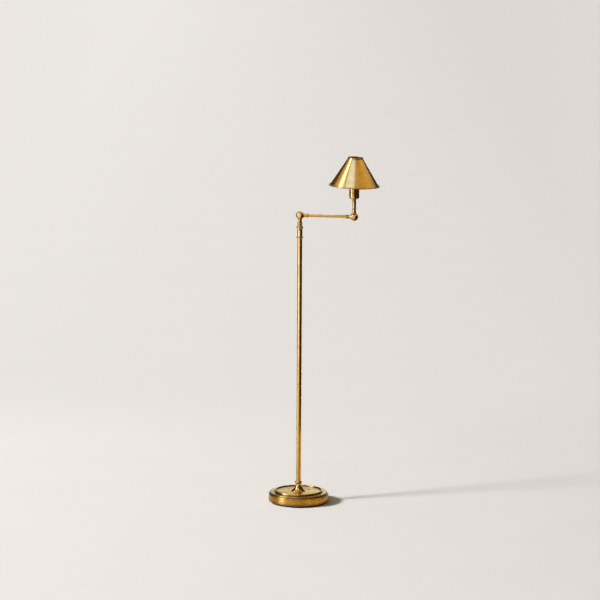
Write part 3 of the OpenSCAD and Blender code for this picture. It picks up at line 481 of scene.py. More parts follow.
@dataclass(frozen=True)
class AgedBrass(Finish):
    """Brass, spun, drawn or turned, darkened, relieved by hand and lacquered.

    It gives the eye a deep gold with a clear gloss over it, brown clouds and specks
    where the darkening stayed, hollows darkened partly by tarnish and partly by painted
    shade, painted shade under lips and hems, brighter metal along the edges that hands
    reach, and lights drawn out across the fine lines.

    Attributes:
        metal, dark: colour of the relieved metal, and of the darkening and the painted shade.
        roughness: of the metal under the lacquer.
        lacquer: weight of the clear lacquer.
        working: the way that the fine lines run.
        axis: the axis that they run round: x and y of an upright one, y and z of a level one.
        drawn_out: how much longer a light is across the lines than along them, from 0 to 1.
        line, line_depth: spacing and depth of the fine lines in millimetres. Real ones are
            about 0.1 mm apart and would not show, so they are drawn several times as coarse.
        run: how many millimetres a line runs before it changes.
        clouds, cloud: how much of the darkening stayed, from 0 to 1, and its clouds' size.
        speck_gap: space between specks of about 1 mm, a few to the palm of a hand.
        smear: size of the smears of handling, which make the gloss uneven.
        dent, dent_depth: size and depth of the dents of spinning and handling.
        wavy: how strongly the dents bend a reflection.
    """

    metal: str = "DDA12E"
    dark: str = "5A3410"
    roughness: float = 0.22
    lacquer: float = 0.6
    working: Working = Working.ROUND_UPRIGHT
    axis: Point = (0.0, 0.0)
    drawn_out: float = 0.8
    line: float = 0.7
    line_depth: float = 0.008
    run: float = 60.0
    clouds: float = 0.4
    cloud: float = 36.0
    speck_gap: float = 24.0
    smear: float = 12.0
    dent: float = 22.0
    dent_depth: float = 0.06
    wavy: float = 0.3

    def _about(self, nodes: Nodes, place: Socket) -> Socket:
        """Place measured from the axis, with nothing left of it along the axis."""
        level = self.working is Working.ROUND_LEVEL
        centre = (0.0, *self.axis) if level else (*self.axis, 0.0)
        across = (0.0, 1.0, 1.0) if level else (1.0, 1.0, 0.0)
        return nodes.vector("MULTIPLY", nodes.vector("SUBTRACT", place, centre), across)

    def _round(self, nodes: Nodes, place: Socket) -> Socket:
        """The way round the axis at a place, which the fine lines follow."""
        along = (1.0, 0.0, 0.0) if self.working is Working.ROUND_LEVEL else (0.0, 0.0, 1.0)
        turned = nodes.out(
            "ShaderNodeVectorTransform",
            {0: nodes.vector("CROSS_PRODUCT", along, self._about(nodes, place))},
            vector_type="VECTOR",
            convert_from="OBJECT",
            convert_to="WORLD",
        )
        return nodes.vector("NORMALIZE", turned)

    def _lines(self, nodes: Nodes, place: Socket) -> Socket:
        """Strength of the last working's fine lines at a place, from 0 to 1."""
        fine = per_mm(self.line)
        if self.working is Working.BY_HAND:
            where = nodes.vector("MULTIPLY", place, (fine / 2, fine / 3, fine / 2))
        else:
            about = self._about(nodes, place)
            axis = "Z" if self.working is Working.ROUND_UPRIGHT else "X"
            along = nodes.out("ShaderNodeSeparateXYZ", {0: place}, axis)
            section = {"X": nodes.vector("LENGTH", about), "Y": along}
            rings = nodes.out("ShaderNodeCombineXYZ", section)
            drift = nodes.vector("MULTIPLY", about, (per_mm(self.run),) * 3)
            where = nodes.vector("ADD", nodes.vector("MULTIPLY", rings, (fine, fine, 0)), drift)
        lines = {"Vector": where, "Scale": 1.0, "Detail": 2.0, "Roughness": 0.6}
        return nodes.out("ShaderNodeTexNoise", lines, "Fac")

    def _darkened_and_shaded(self, nodes: Nodes, place: Socket) -> Socket:
        """How dark a place is: darkening that stayed in clouds and specks, tarnish and painted
        shade in hollows, painted shade under edges.
        """
        cloud = nodes.noise(place, self.cloud, 5.0, 0.62, 0.4)
        patchy = nodes.fit(cloud, (0.42, 0.78), (0.0, self.clouds))
        cells = {"Vector": place, "Scale": per_mm(self.speck_gap), "Randomness": 1.0}
        middle = nodes.out("ShaderNodeTexVoronoi", cells, "Distance")
        speck = nodes.fit(middle, (0.05, 0.02), (0.0, 0.6))
        # The hollow attribute holds tarnish and painted shade in hollow corners, and painted shade
        # under lips and hems
        hollow = nodes.out("ShaderNodeAttribute", {}, "Fac", attribute_name="hollow")
        worn = nodes.out("ShaderNodeAttribute", {}, "Fac", attribute_name="edge_wear")
        stayed = nodes.maths("MULTIPLY_ADD", hollow, 1.0, patchy)
        relieved = nodes.maths("MULTIPLY_ADD", worn, -0.8, stayed)
        return nodes.maths("MAXIMUM", relieved, speck, use_clamp=True)

    def _shader(self, nodes: Nodes) -> Socket:
        """Builds the brass."""
        place = nodes.place()
        share = self._darkened_and_shaded(nodes, place)
        smear = nodes.noise(place, self.smear, 3.0, 0.7)
        rough = nodes.fit(smear, (0.3, 0.75), (self.roughness * 0.85, self.roughness * 1.25))
        dents = nodes.bump(nodes.noise(place, self.dent, 1.0), self.wavy, self.dent_depth)
        lines = self._lines(nodes, place)
        sockets: Inputs = {
            "Base Color": nodes.mix(share, linear(self.metal), linear(self.dark)),
            "Metallic": 1.0,
            # The darkening and the painted shade are duller than the metal
            "Roughness": nodes.maths("MULTIPLY_ADD", share, 0.12, rough),
            "Normal": nodes.bump(lines, 0.2, self.line_depth, Normal=dents),
            "Coat Weight": self.lacquer,
            "Coat Roughness": 0.12,
            "Coat IOR": 1.5,
        }
        if self.working is not Working.BY_HAND:
            sockets["Anisotropic"] = self.drawn_out
            # A quarter turn lays the drawn-out light across the lines
            sockets["Anisotropic Rotation"] = 0.25
            sockets["Tangent"] = self._round(nodes, place)
        return nodes.out("ShaderNodeBsdfPrincipled", sockets)


@dataclass(frozen=True)
class PlainMetal(Finish):
    """Plated or bearing metal, brushed or machined, that hides inside the lamp.

    It gives the eye a grey or tawny shine broken by short fine lines.

    Attributes:
        metal: its colour.
        roughness: of the machined surface.
        grain: size of its grain in millimetres.
    """

    metal: str = "B4B4B0"
    roughness: float = 0.35
    grain: float = 1.5

    def _shader(self, nodes: Nodes) -> Socket:
        """Builds the metal."""
        grain = nodes.noise(nodes.place(), self.grain, 4.0, 0.7)
        bright = linear(self.metal)
        deep = (*(c * 0.72 for c in bright[:3]), 1.0)
        sockets = {
            "Base Color": nodes.mix(grain, deep, bright),
            "Metallic": 1.0,
            "Roughness": nodes.fit(grain, to=(self.roughness * 0.7, self.roughness * 1.3)),
            "Normal": nodes.bump(grain, 0.2, 0.03),
        }
        return nodes.out("ShaderNodeBsdfPrincipled", sockets)


@dataclass(frozen=True)
class Moulded(Finish):
    """A body that isn't metal: moulded, pressed, fired, cast and painted, or drawn.

    It gives the eye a quiet even colour with a fine tooth that catches the light.

    Attributes:
        colour: its colour.
        shade: its colour in the hollows of its grain.
        roughness: of its surface.
        grain: size of the grain in millimetres.
        relief: height of the grain in millimetres.
        sheen: weight of a soft fuzz, for felt.
        ior: the body's index of refraction.
    """

    colour: str = "202020"
    shade: str = "101010"
    roughness: float = 0.6
    grain: float = 1.0
    relief: float = 0.05
    sheen: float = 0.0
    ior: float = 1.5

    def _shader(self, nodes: Nodes) -> Socket:
        """Builds the body, with its grain and with patches 14 grains across."""
        place = nodes.place()
        grain = nodes.noise(place, self.grain, 4.0, 0.65)
        wide = nodes.noise(place, self.grain * 14, 2.0)
        share = nodes.fit(nodes.maths("MULTIPLY_ADD", wide, 0.4, grain), (0.4, 0.95))
        dullest = min(1.0, self.roughness * 1.15)
        sockets = {
            "Base Color": nodes.mix(share, linear(self.shade), linear(self.colour)),
            "Roughness": nodes.fit(grain, to=(self.roughness * 0.85, dullest)),
            "Normal": nodes.bump(grain, 0.5, self.relief),
            "IOR": self.ior,
            "Sheen Weight": self.sheen,
        }
        return nodes.out("ShaderNodeBsdfPrincipled", sockets)


@dataclass(frozen=True)
class FrostedGlass(Finish):
    """Soda glass, blown and etched inside.

    It gives the eye a soft white body with a clear gloss on its outside.

    Attributes:
        colour: the colour that the frosted glass passes.
        frost: size of the etching's grain in millimetres.
    """

    colour: str = "F6F3EA"
    frost: float = 0.8

    def _shader(self, nodes: Nodes) -> Socket:
        """Builds the glass."""
        frost = nodes.noise(nodes.place(), self.frost, 2.0)
        sockets = {
            "Base Color": linear(self.colour),
            "Roughness": nodes.fit(frost, to=(0.42, 0.58)),
            "Transmission Weight": 0.55,
            "IOR": 1.52,
            "Coat Weight": 0.6,
            "Coat Roughness": 0.03,
        }
        return nodes.out("ShaderNodeBsdfPrincipled", sockets)


@dataclass(frozen=True)
class Glow(Finish):
    """Lit paper, window or dark cloth of the studio, which only the metal shows.

    It gives the eye the even patches of light and dark in the brass.

    Attributes:
        light: the light that it gives.
    """

    light: Colour = (1.0, 1.0, 1.0, 1.0)

    def _shader(self, nodes: Nodes) -> Socket:
        """Builds the glow."""
        return nodes.out("ShaderNodeEmission", {"Color": self.light, "Strength": 1.0})


# A wide soft sheen round the drum, browner in its steps with tarnish and painted shade, and a
# painted shade line under the hem
SPUN_BASE = AgedBrass("brass_spun_base_lacquered", metal="D8982C", roughness=0.26, lacquer=0.25)
# Crisp rings of light between brown hollows, partly tarnish and partly painted shade
TURNED_FOOT = AgedBrass("brass_turned_lacquered", line=0.5, roughness=0.18)
TURNED_HEAD = AgedBrass("brass_turned_head_lacquered", axis=HEAD_AXIS, line=0.5, roughness=0.18)
# Long upright stripes of light on the column, level ones on the arm
BUFFED_COLUMN = AgedBrass("brass_column_tube_buffed", lacquer=0.4)
BUFFED_ARM = AgedBrass(
    "brass_arm_tube_buffed", working=Working.ROUND_LEVEL, axis=ARM_AXIS, drawn_out=0.4, lacquer=0.25
)
# A clear small image of the studio in the balls, smeared by fingers
HAND_POLISHED = AgedBrass("brass_cast_hand_polished", working=Working.BY_HAND, roughness=0.2)
# A satin cone, light at one side and deep at the other, hardly clouded, with a painted shade line
# under its lip
SPUN_SHADE = AgedBrass(
    "brass_spun_shade_lacquered", axis=HEAD_AXIS, line=0.9, roughness=0.26, clouds=0.25, wavy=0.08
)
# Plain yellow metal, without the depth of a lacquer
BRIGHT_BRASS = AgedBrass("brass_machined_bare", working=Working.BY_HAND, clouds=0.15, lacquer=0.0)
# A dull red-brown that holds oil
BRONZE = PlainMetal("bronze_bearing_sintered", metal="A9753A", roughness=0.5)
# A cool grey shine, fine-grained
ZINC_STEEL = PlainMetal("steel_zinc_plated", metal="A9ABAD", roughness=0.32)
# The palest and smoothest of the metals
ROLLED_ALUMINIUM = PlainMetal("aluminium_cap_rolled", metal="D6D6D2", roughness=0.25)
# A flat black with a low gloss
BLACK_STEEL = Moulded(
    "steel_sheet_black_painted", colour="1B1A19", shade="141312", roughness=0.45, grain=2.0
)
# A black that the casting's skin makes rough
BLACK_IRON = Moulded(
    "iron_sand_cast_black_painted",
    colour="211E1C",
    shade="151312",
    roughness=0.55,
    grain=1.6,
    relief=0.25,
)
# A dark line with a fuzz of light along its edge
FELT = Moulded(
    "felt_pressed_dark",
    colour="1C1C20",
    shade="0C0C0E",
    roughness=0.95,
    grain=0.7,
    relief=0.3,
    sheen=0.35,
)
# A dull even black
RUBBER = Moulded("rubber_moulded_black", colour="222222", shade="181818", grain=0.8, ior=1.52)
# A milky white with a waxy shine
NYLON = Moulded("nylon_moulded_natural", colour="E4E0D4", shade="CFCABB", roughness=0.45, ior=1.53)
# A dry red-brown board
FIBRE = Moulded(
    "fibre_vulcanised_red", colour="7E3D25", shade="5A2817", roughness=0.7, grain=0.6, ior=1.55
)
# A matt chalky white
PORCELAIN = Moulded("porcelain_fired_unglazed", colour="F0ECE2", shade="DDD7C9", grain=1.2)
# A soft brown with a long smooth shine
LEAD_SHEATH = Moulded(
    "pvc_lead_sheath_drawn", colour="3C3128", shade="2C231C", roughness=0.42, ior=1.54
)
# Milk-white glass with a hard gloss over it
BULB_GLASS = FrostedGlass("glass_bulb_inside_frosted")


# ---- sub-assemblies ----


@dataclass
class SubAssembly:
    """Pieces that stand together on the lamp.

    Attributes:
        nodes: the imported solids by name.
        made: the pieces made here, for the log.
    """

    nodes: dict[str, bpy.types.Object]
    made: list[bpy.types.Object] = field(default_factory=list)

    def keep(self, finish: Finish, *names: str) -> None:
        """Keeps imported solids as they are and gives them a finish.

        Args:
            finish: what they are made of.
            *names: the solids' node names.
        """
        for name in names:
            piece = self.nodes[name]
            piece.data.shade_smooth()
            piece.data.set_sharp_from_angle(angle=math.radians(SHARP_PACKED))
            finish.dress(piece)

    def stand_for(
        self, piece: bpy.types.Object, finish: Finish, body: str, slot: str, *names: str
    ) -> bpy.types.Object:
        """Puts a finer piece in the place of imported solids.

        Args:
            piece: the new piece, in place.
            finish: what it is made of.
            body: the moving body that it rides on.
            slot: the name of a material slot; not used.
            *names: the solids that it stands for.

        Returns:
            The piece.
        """
        finish.dress(piece)
        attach(piece, body)
        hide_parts(*names)
        self.made.append(piece)
        return piece

    def build(self) -> None:
        """Builds the sub-assembly's pieces and dresses them."""
        raise NotImplementedError

    def report(self) -> None:
        """Logs each piece that was made."""
        for piece in self.made:
            LOG.info("%s: %s, %d faces", type(self).__name__, piece.name, len(piece.data.polygons))


@dataclass
class Base(SubAssembly):
    """Pad, cover, iron weight and the spun shell over them.

    Attributes:
        radius, drum_top: radius of the skirt and height of its upper edge.
        sheet: thickness of the spun brass.
        hem: diameter of the bead rolled along the skirt.
        hem_tuck: how far below the bead's top the rolled edge ends.
        hem_shaded: height in the bead under which shade is painted, as a share of its radius.
        skirt_lift: height of the skirt's lower edge.
        ring_r, ring_top: outer radius and height of the flat ring.
        rim_r, rim_top, rim_w: outer radius, height and width of the raised rim.
        plate_z: height of the inner plate.
        edge: rounding of the steps.
        roots: rounding of the hollow corners, from the drum inward.
        fold: rounding of the sheet's inner corners.
        out_of_true: how far the spun sheet strays from round.
        pad_r, pad_t: radius and thickness of the felt pad.
        pad_edges: rounding of its lower and upper edge.
    """

    radius: float = 120.5
    drum_top: float = 38.0
    sheet: float = 1.2
    hem: float = 3.6
    hem_tuck: float = 0.6
    hem_shaded: float = 0.6
    skirt_lift: float = 8.0
    ring_r: float = 115.5
    ring_top: float = 43.5
    rim_r: float = 96.5
    rim_top: float = 51.0
    rim_w: float = 7.0
    plate_z: float = 46.5
    edge: float = 1.8
    roots: tuple[float, float, float] = (0.9, 0.8, 0.7)
    fold: float = ROOT
    out_of_true: float = 0.1
    pad_r: float = 110.5
    pad_t: float = 3.0
    pad_edges: Point = (0.7, 0.5)

    def _shell(self) -> bpy.types.Object:
        """The spun shell: rolled hem, skirt, ledge, flat ring, rim and plate."""
        half, hem_r, hem_top = self.rim_w / 2, self.hem / 2, self.skirt_lift + self.hem
        drum, ring, rim = self.roots
        loop: list[Corner] = arc(self.radius - hem_r, self.skirt_lift + hem_r, hem_r, -180, 0, 14)
        loop += [(self.radius, self.drum_top, self.edge), (self.ring_r, self.drum_top, drum)]
        loop += [(self.ring_r, self.ring_top, self.edge), (self.rim_r, self.ring_top, ring)]
        loop += arc(self.rim_r - half, self.rim_top - half, half, 0, 180, 18)
        loop += [(self.rim_r - self.rim_w, self.plate_z, rim), (BORE, self.plate_z)]
        # Back out on the inside, a sheet's thickness away
        t = self.sheet
        corners = [(self.rim_r, self.plate_z), (self.rim_r, self.ring_top)]
        corners += [(self.ring_r, self.ring_top), (self.ring_r, self.drum_top)]
        corners += [(self.radius, self.drum_top)]
        loop += [(BORE, self.plate_z - t), *((r - t, z - t, self.fold) for r, z in corners)]
        loop += [(self.radius - t, hem_top), (self.radius - self.hem, hem_top - self.hem_tuck)]
        # Painted shade: the underside of the rolled hem is painted dark, where shade falls
        shaded_under = (self.radius - hem_r, self.skirt_lift + self.hem_shaded * hem_r)
        shell = Turning(soften(loop), 192, out_of_true=self.out_of_true, painted_shade_under=shaded_under)
        return shell.make("spun_base_shell")

    def _pad(self) -> bpy.types.Object:
        """The felt pad, its cut edge a little rounded."""
        r, t, (lower, upper) = self.pad_r, self.pad_t, self.pad_edges
        loop = [(0.0, 0.0), (r, 0.0, lower), (r, t, upper), (0.0, t)]
        return Turning(soften(loop), 160).make("felt_foot_pad")

    def build(self) -> None:
        """Builds the shell and the pad, and dresses what stays."""
        self.stand_for(self._pad(), FELT, "stand", "felt", "foot_pad")
        self.stand_for(self._shell(), SPUN_BASE, "stand", "brass", "base_shell")
        self.keep(BLACK_STEEL, "cover_plate")
        self.keep(BLACK_IRON, "base_weight")
        self.keep(ZINC_STEEL, "cover_screws", "tie_tube", "tie_washer", "tie_nut")
        self.keep(HAND_POLISHED, "plate_screws")
        self.keep(RUBBER, "cord_grommet")


@dataclass
class Column(SubAssembly):
    """Turned foot, upright tube and the sleeve with its ring at the top.

    Attributes:
        radius, wall: of the tube.
        socket_z, top: heights of the tube's ends.
        foot_z: height of the plate that the foot stands on.
        foot_r, lip: radius of the foot's skirt and height of its lip.
        lip_step: how far in and up from the lip the sweep starts.
        sweep_h: height of the sweep's slim end over the plate.
        neck_r, foot_top: radius of the foot's neck and height of its top.
        bead_r, bead_h: radius and height of the foot's bead.
        hollow_r, hollow_h: radius and height of the hollow under the foot.
        collar_z: height of the collar's lower end.
        sleeve_r, sleeve_top: radius of the sleeve and height of its top.
        ring_r, ring_h: radius and height of the collar's ring.
    """

    radius: float = 9.5
    wall: float = 1.2
    socket_z: float = 66.5
    top: float = 1114.0
    foot_z: float = 46.5
    foot_r: float = 29.0
    lip: float = 1.5
    lip_step: Point = (0.25, 0.1)
    sweep_h: float = 28.0
    neck_r: float = 11.5
    foot_top: float = 86.5
    bead_r: float = 14.5
    bead_h: float = 7.0
    hollow_r: float = 15.5
    hollow_h: float = 8.0
    collar_z: float = 1080.0
    sleeve_r: float = 10.5
    sleeve_top: float = 1118.0
    ring_r: float = 14.2
    ring_h: float = 5.0

    def _foot(self) -> bpy.types.Object:
        """The turned foot, from its thin lip through the sweep to the bead."""
        z, lip_z, hollow_z = self.foot_z, self.foot_z + self.lip, self.foot_z + self.hollow_h
        (step, rise), socket_r = self.lip_step, self.radius + FIT
        loop: list[Corner] = [(self.hollow_r, z), (self.foot_r, z, ARRIS)]
        loop += [(self.foot_r, lip_z, ARRIS)]
        loop += cove(self.foot_r - step, lip_z + rise, self.neck_r, z + self.sweep_h, 24)
        loop += [(self.neck_r, self.foot_top - self.bead_h, EASED)]
        loop += bead(self.bead_r, self.foot_top - self.bead_h / 2, self.bead_h, 16)
        loop += [(socket_r, self.foot_top, ARRIS), (socket_r, self.socket_z)]
        loop += [(BORE, self.socket_z), (BORE, hollow_z), (self.hollow_r, hollow_z, ROOT)]
        return Turning(soften(loop), 112).make("turned_column_foot")

    def _tube(self) -> bpy.types.Object:
        """The drawn tube."""
        loop = tube(self.radius, self.wall, self.socket_z, self.top, 24)
        return Turning(loop).make("drawn_column_tube")

    def _collar(self) -> bpy.types.Object:
        """The sleeve with its ring."""
        z, h, loose = self.collar_z, self.ring_h, self.radius + FIT
        inner = self.radius - self.wall
        loop: list[Corner] = [(loose, z, CRISP), *bead(self.ring_r, z + h / 2, h, 16)]
        loop += [(self.sleeve_r, z + h, ARRIS), (self.sleeve_r, self.sleeve_top, EASED)]
        loop += [(inner, self.sleeve_top), (inner, self.top), (loose, self.top)]
        return Turning(soften(loop)).make("turned_column_collar")

    def build(self) -> None:
        """Builds the three pieces that show and dresses what stays."""
        self.stand_for(self._foot(), TURNED_FOOT, "stand", "brass", "column_foot")
        self.stand_for(self._tube(), BUFFED_COLUMN, "stand", "brass", "column_tube")
        self.stand_for(self._collar(), TURNED_FOOT, "stand", "brass", "column_collar")
        self.keep(BRIGHT_BRASS, "column_plug")
        self.keep(BRONZE, "swivel_bush")


@dataclass
class Swivel(SubAssembly):
    """Turned cap that swings on the column, and the knuckle it carries.

    Attributes:
        cap_z: height of the cap's underside; the heights below are measured from it.
        foot_r, foot_h: radius and height of the step under the ring.
        ring_r, ring_h: radius and height of the ring.
        sweep_r: radius at which the sweep leaves the ring.
        pinch_r, pinch: radius of the pinch, and where it begins and ends.
        bead_r, bead_h: radius and height of the bead.
        top_r, height: radius and height of the cap's top.
        socket_r, socket_h: radius of the socket for the knuckle, and where its floor lies.
    """

    cap_z: float = 1119.0
    foot_r: float = 10.5
    foot_h: float = 0.5
    ring_r: float = 14.2
    ring_h: float = 7.0
    sweep_r: float = 12.2
    pinch_r: float = 9.5
    pinch: Point = (13.0, 15.5)
    bead_r: float = 10.5
    bead_h: float = 7.0
    top_r: float = 9.2
    height: float = 23.0
    socket_r: float = 6.43
    socket_h: float = 15.0

    def _cap(self) -> bpy.types.Object:
        """The turned cap: ring, pinch and bead."""
        z, ring_z, top = self.cap_z, self.cap_z + self.foot_h, self.cap_z + self.height
        low, high, socket_z = z + self.pinch[0], z + self.pinch[1], z + self.socket_h
        loop: list[Corner] = [(THREAD_BORE, z), (self.foot_r, z, CRISP)]
        loop += [(self.foot_r, ring_z, HAIR)]
        loop += bead(self.ring_r, ring_z + self.ring_h / 2, self.ring_h, 18)
        loop += cove(self.sweep_r, ring_z + self.ring_h, self.pinch_r, low, 12)
        loop += [(self.pinch_r, high, EASED)]
        loop += bead(self.bead_r, high + self.bead_h / 2, self.bead_h, 18)[1:-1]
        loop += [(self.top_r, high + self.bead_h, CRISP), (self.top_r, top, HAIR)]
        loop += [(self.socket_r, top), (self.socket_r, socket_z), (THREAD_BORE, socket_z)]
        return Turning(soften(loop)).make("turned_swivel_cap")

    def build(self) -> None:
        """Builds the cap and dresses what stays."""
        self.stand_for(self._cap(), TURNED_FOOT, "swivel", "brass", "swivel_cap")
        self.keep(NYLON, "swivel_shim")
        self.keep(ZINC_STEEL, "swivel_nipple", "swivel_washer", "swivel_nut", "swivel_stop_pin")
        self.keep(HAND_POLISHED, "column_knuckle", "arm_pivot_screw", "arm_pivot_nut")
        self.keep(ZINC_STEEL, "arm_spring_washer", "arm_stop_pin")
        self.keep(FIBRE, "arm_friction_washer")


@dataclass
class Arm(SubAssembly):
    """Level tube with a half ball at either end.

    Attributes:
        radius, wall: of the tube.
        height: of the tube's axis above the floor.
        start: how far each end of the tube is from the ball's centre.
    """

    radius: float = 5.5
    wall: float = 1.1
    height: float = BALL_Z
    start: float = 24.4

    def _tube(self) -> bpy.types.Object:
        """The drawn tube, made upright and laid along X."""
        loop = tube(self.radius, self.wall, self.start, ARM_SPAN - self.start, 12)
        lift = Matrix.Translation((0, 0, self.height * MM))
        return Turning(loop, 72).make("drawn_arm_tube", lift @ Matrix.Rotation(math.pi / 2, 4, "Y"))

    def build(self) -> None:
        """Builds the tube and dresses the half balls."""
        self.stand_for(self._tube(), BUFFED_ARM, "arm", "brass", "arm_tube")
        self.keep(HAND_POLISHED, "arm_knuckle_inner", "arm_knuckle_outer")


@dataclass
class Head(SubAssembly):
    """Second knuckle, stem and lampholder.

    Attributes:
        stem_z, stem_r, stem_len: height of the stem's lower end, its radius and its length.
        ring_drop: how far under the stem's top the middle of its bead is.
        ring_h, ring_out: height of that bead, and how far it stands out.
        flare_r, flare_h, flare_edge: radius, height and edge of the flare at the stem's top.
        cup_z, cup_h: height of the cup's underside, and of the cup.
        holder_r, sheet: radius of the cup and shell, and thickness of their brass.
        round_r: rounding of the cup's lower edge.
        shell_h, spigot: how far the shell reaches above and down into the cup.
        mouth_r: radius of the opening in the shell's top.
        cup_edge, shell_edge: rounding of the cup's mouth and of the shell's top.
        nuts: heights of the ring nuts' undersides.
        nut_r, nut_h: their radius and thickness.
        knurls, knurl_depth: number and depth of the knurls round each.
        knurl_edge: the smooth edge on either side of them.
    """

    stem_z: float = 1208.0
    stem_r: float = 7.6
    stem_len: float = 36.0
    ring_drop: float = 7.0
    ring_h: float = 3.0
    ring_out: float = 0.6
    flare_r: float = 10.0
    flare_h: float = 5.0
    flare_edge: float = 0.8
    cup_z: float = 1244.0
    cup_h: float = 24.0
    holder_r: float = 20.0
    sheet: float = 1.2
    round_r: float = 8.0
    shell_h: float = 38.0
    spigot: float = 8.0
    mouth_r: float = 14.6
    cup_edge: float = 0.35
    shell_edge: float = 0.8
    nuts: Point = (1292.0, 1300.0)
    nut_r: float = 24.0
    nut_h: float = 5.0
    knurls: int = 60
    knurl_depth: float = 0.45
    knurl_edge: float = 0.9

    def _stem(self) -> bpy.types.Object:
        """The stem with its small bead and its flare."""
        z, r, top = self.stem_z, self.stem_r, self.stem_z + self.stem_len
        ring_z, half = top - self.ring_drop, self.ring_h / 2
        loop: list[Corner] = [(THREAD_BORE, z), (r, z, CRISP), (r, ring_z - half, CRISP)]
        loop += bead(r + self.ring_out, ring_z, self.ring_h, 12)[1:-1]
        loop += [(r, ring_z + half, CRISP)]
        loop += reversed(cove(self.flare_r, top - self.flare_edge, r, top - self.flare_h, 12))
        loop += [(self.flare_r, top, CRISP), (THREAD_BORE, top)]
        return Turning(soften(loop), 80, HEAD_CENTRE).make("turned_stem")

    def _cup(self) -> bpy.types.Object:
        """The pressed cup under the lampholder."""
        z, top, t = self.cup_z, self.cup_z + self.cup_h, self.sheet
        r, turn = self.holder_r, self.round_r
        loop: list[Corner] = [(BORE, z), *arc(r - turn, z + turn, turn, -90, 0, 14)]
        loop += [(r, top, self.cup_edge), (r - t, top)]
        loop += [*arc(r - turn, z + turn, turn - t, 0, -90, 10), (BORE, z + t)]
        return Turning(soften(loop), 112, HEAD_CENTRE).make("pressed_holder_cup")

    def _shell(self) -> bpy.types.Object:
        """The shell above the cup, with its ledge, spigot and turned-in top."""
        t, r, mouth, foot = self.sheet, self.holder_r, self.mouth_r, self.cup_z + self.cup_h
        top, low, slim = foot + self.shell_h, foot - self.spigot, r - 2 * t - FIT
        loop: list[Corner] = [(slim, low), (r - t - FIT, low), (r - t - FIT, foot)]
        loop += [(r, foot, ARRIS), (r, top, self.shell_edge), (mouth, top, ARRIS)]
        loop += [(mouth, top - t, ARRIS), (r - t, top - t, EASED)]
        loop += [(r - t, foot + t), (slim, foot + t)]
        return Turning(soften(loop), 112, HEAD_CENTRE).make("drawn_holder_shell")

    def _ring_nut(self, z: float, name: str) -> bpy.types.Object:
        """One ring nut with a knurled rim.

        Args:
            z: height of its underside.
            name: the piece's name.

        Returns:
            The ring nut.
        """
        top, bore = z + self.nut_h, self.holder_r + FIT
        rim = bead(self.nut_r, z + self.nut_h / 2, self.nut_h, 8)
        turned = Turning(
            soften([(bore, z), *rim, (bore, top)]),
            segments=360,
            centre=HEAD_CENTRE,
            knurls=self.knurls,
            knurled=(z + self.knurl_edge, top - self.knurl_edge),
            knurl_depth=self.knurl_depth,
        )
        return turned.make(name)

    def build(self) -> None:
        """Builds the pieces that show and dresses what stays."""
        self.stand_for(self._stem(), TURNED_HEAD, "head", "brass", "stem")
        self.stand_for(self._cup(), TURNED_HEAD, "head", "brass", "holder_cup")
        self.stand_for(self._shell(), TURNED_HEAD, "head", "brass", "holder_shell")
        for z, name in zip(self.nuts, ("knurled_ring_nut_lower", "knurled_ring_nut_upper")):
            self.stand_for(self._ring_nut(z, name), TURNED_HEAD, "head", "brass", "shade_ring_nuts")
        self.keep(HAND_POLISHED, "head_knuckle", "head_pivot_screw", "head_pivot_nut")
        self.keep(ZINC_STEEL, "head_spring_washer", "head_stop_pin")
        self.keep(ZINC_STEEL, "holder_nipple", "holder_locknut")
        self.keep(FIBRE, "head_friction_washer", "holder_liner")
        self.keep(PORCELAIN, "holder_body")
        self.keep(BRIGHT_BRASS, "holder_terminals", "holder_contact", "holder_screw_shell")


@dataclass
class Shade(SubAssembly):
    """Spun cone shade on its spider, leaning a little away from the column.

    Attributes:
        low: height of the lip's underside before the lean.
        lean, pivot: the lean in degrees, and the height about which the shade leans.
        lip_r, wire_r: radius over the lip, and of the wired edge in it.
        lip_shaded: height in the lip under which shade is painted, as a share of the wire's radius.
        cone_r: radius of the cone where it meets the lip.
        collar_r, collar_h: radius and height of the collar.
        height, sheet: of the shade, and thickness of its brass.
        fold: rounding of the bends outside.
        inner_folds: rounding of the bends inside, at the collar and at the lip.
        out_of_true: how far the spun sheet strays from round.
    """

    low: float = 1296.5
    lean: float = 2.0
    pivot: float = 1298.5
    lip_r: float = 103.0
    lip_shaded: float = 1.25
    cone_r: float = 97.0
    collar_r: float = 30.75
    height: float = 114.5
    collar_h: float = 5.0
    sheet: float = 0.9
    wire_r: float = 2.2
    fold: float = 1.0
    inner_folds: Point = (0.9, 1.2)
    out_of_true: float = 0.12

    def _cone(self) -> bpy.types.Object:
        """The spun shade: wired lip, flange, cone and collar in one sheet."""
        w, t, r, h = self.wire_r, self.sheet, self.collar_r, self.height
        foot, top, (upper, lower) = w + t / 2, h - self.collar_h, self.inner_folds
        slope = (self.cone_r - r) / (top - foot)
        across = t * math.sqrt(1 + slope**2)
        up = math.degrees(math.asin(t / 2 / w))
        loop: list[Corner] = arc(self.lip_r - w, w, w, -180 + up, 180 - up, 22)
        loop += [(self.cone_r, foot, self.fold), (r, top, self.fold), (r, h, ARRIS)]
        loop += [(r - across, h, ARRIS), (r - across, top, upper)]
        loop += [(self.cone_r - across - t * slope / 2, w - t / 2, lower)]
        lifted = soften([(p[0], p[1] + self.low, *p[2:]) for p in loop], 6)
        lean = (
            Matrix.Translation((ARM_SPAN * MM, 0, self.pivot * MM))
            @ Matrix.Rotation(math.radians(self.lean), 4, "Y")
            @ Matrix.Translation((0, 0, -self.pivot * MM))
        )
        # Painted shade: the underside of the wired lip is painted dark, where shade falls
        shaded_under = (self.lip_r - w, self.low + self.lip_shaded * w)
        cone = Turning(lifted, 224, out_of_true=self.out_of_true, painted_shade_under=shaded_under)
        return cone.make("spun_cone_shade", lean)

    def build(self) -> None:
        """Builds the shade and dresses its spider."""
        self.stand_for(self._cone(), SPUN_SHADE, "head", "brass", "shade")
        self.keep(TURNED_HEAD, "shade_spider")


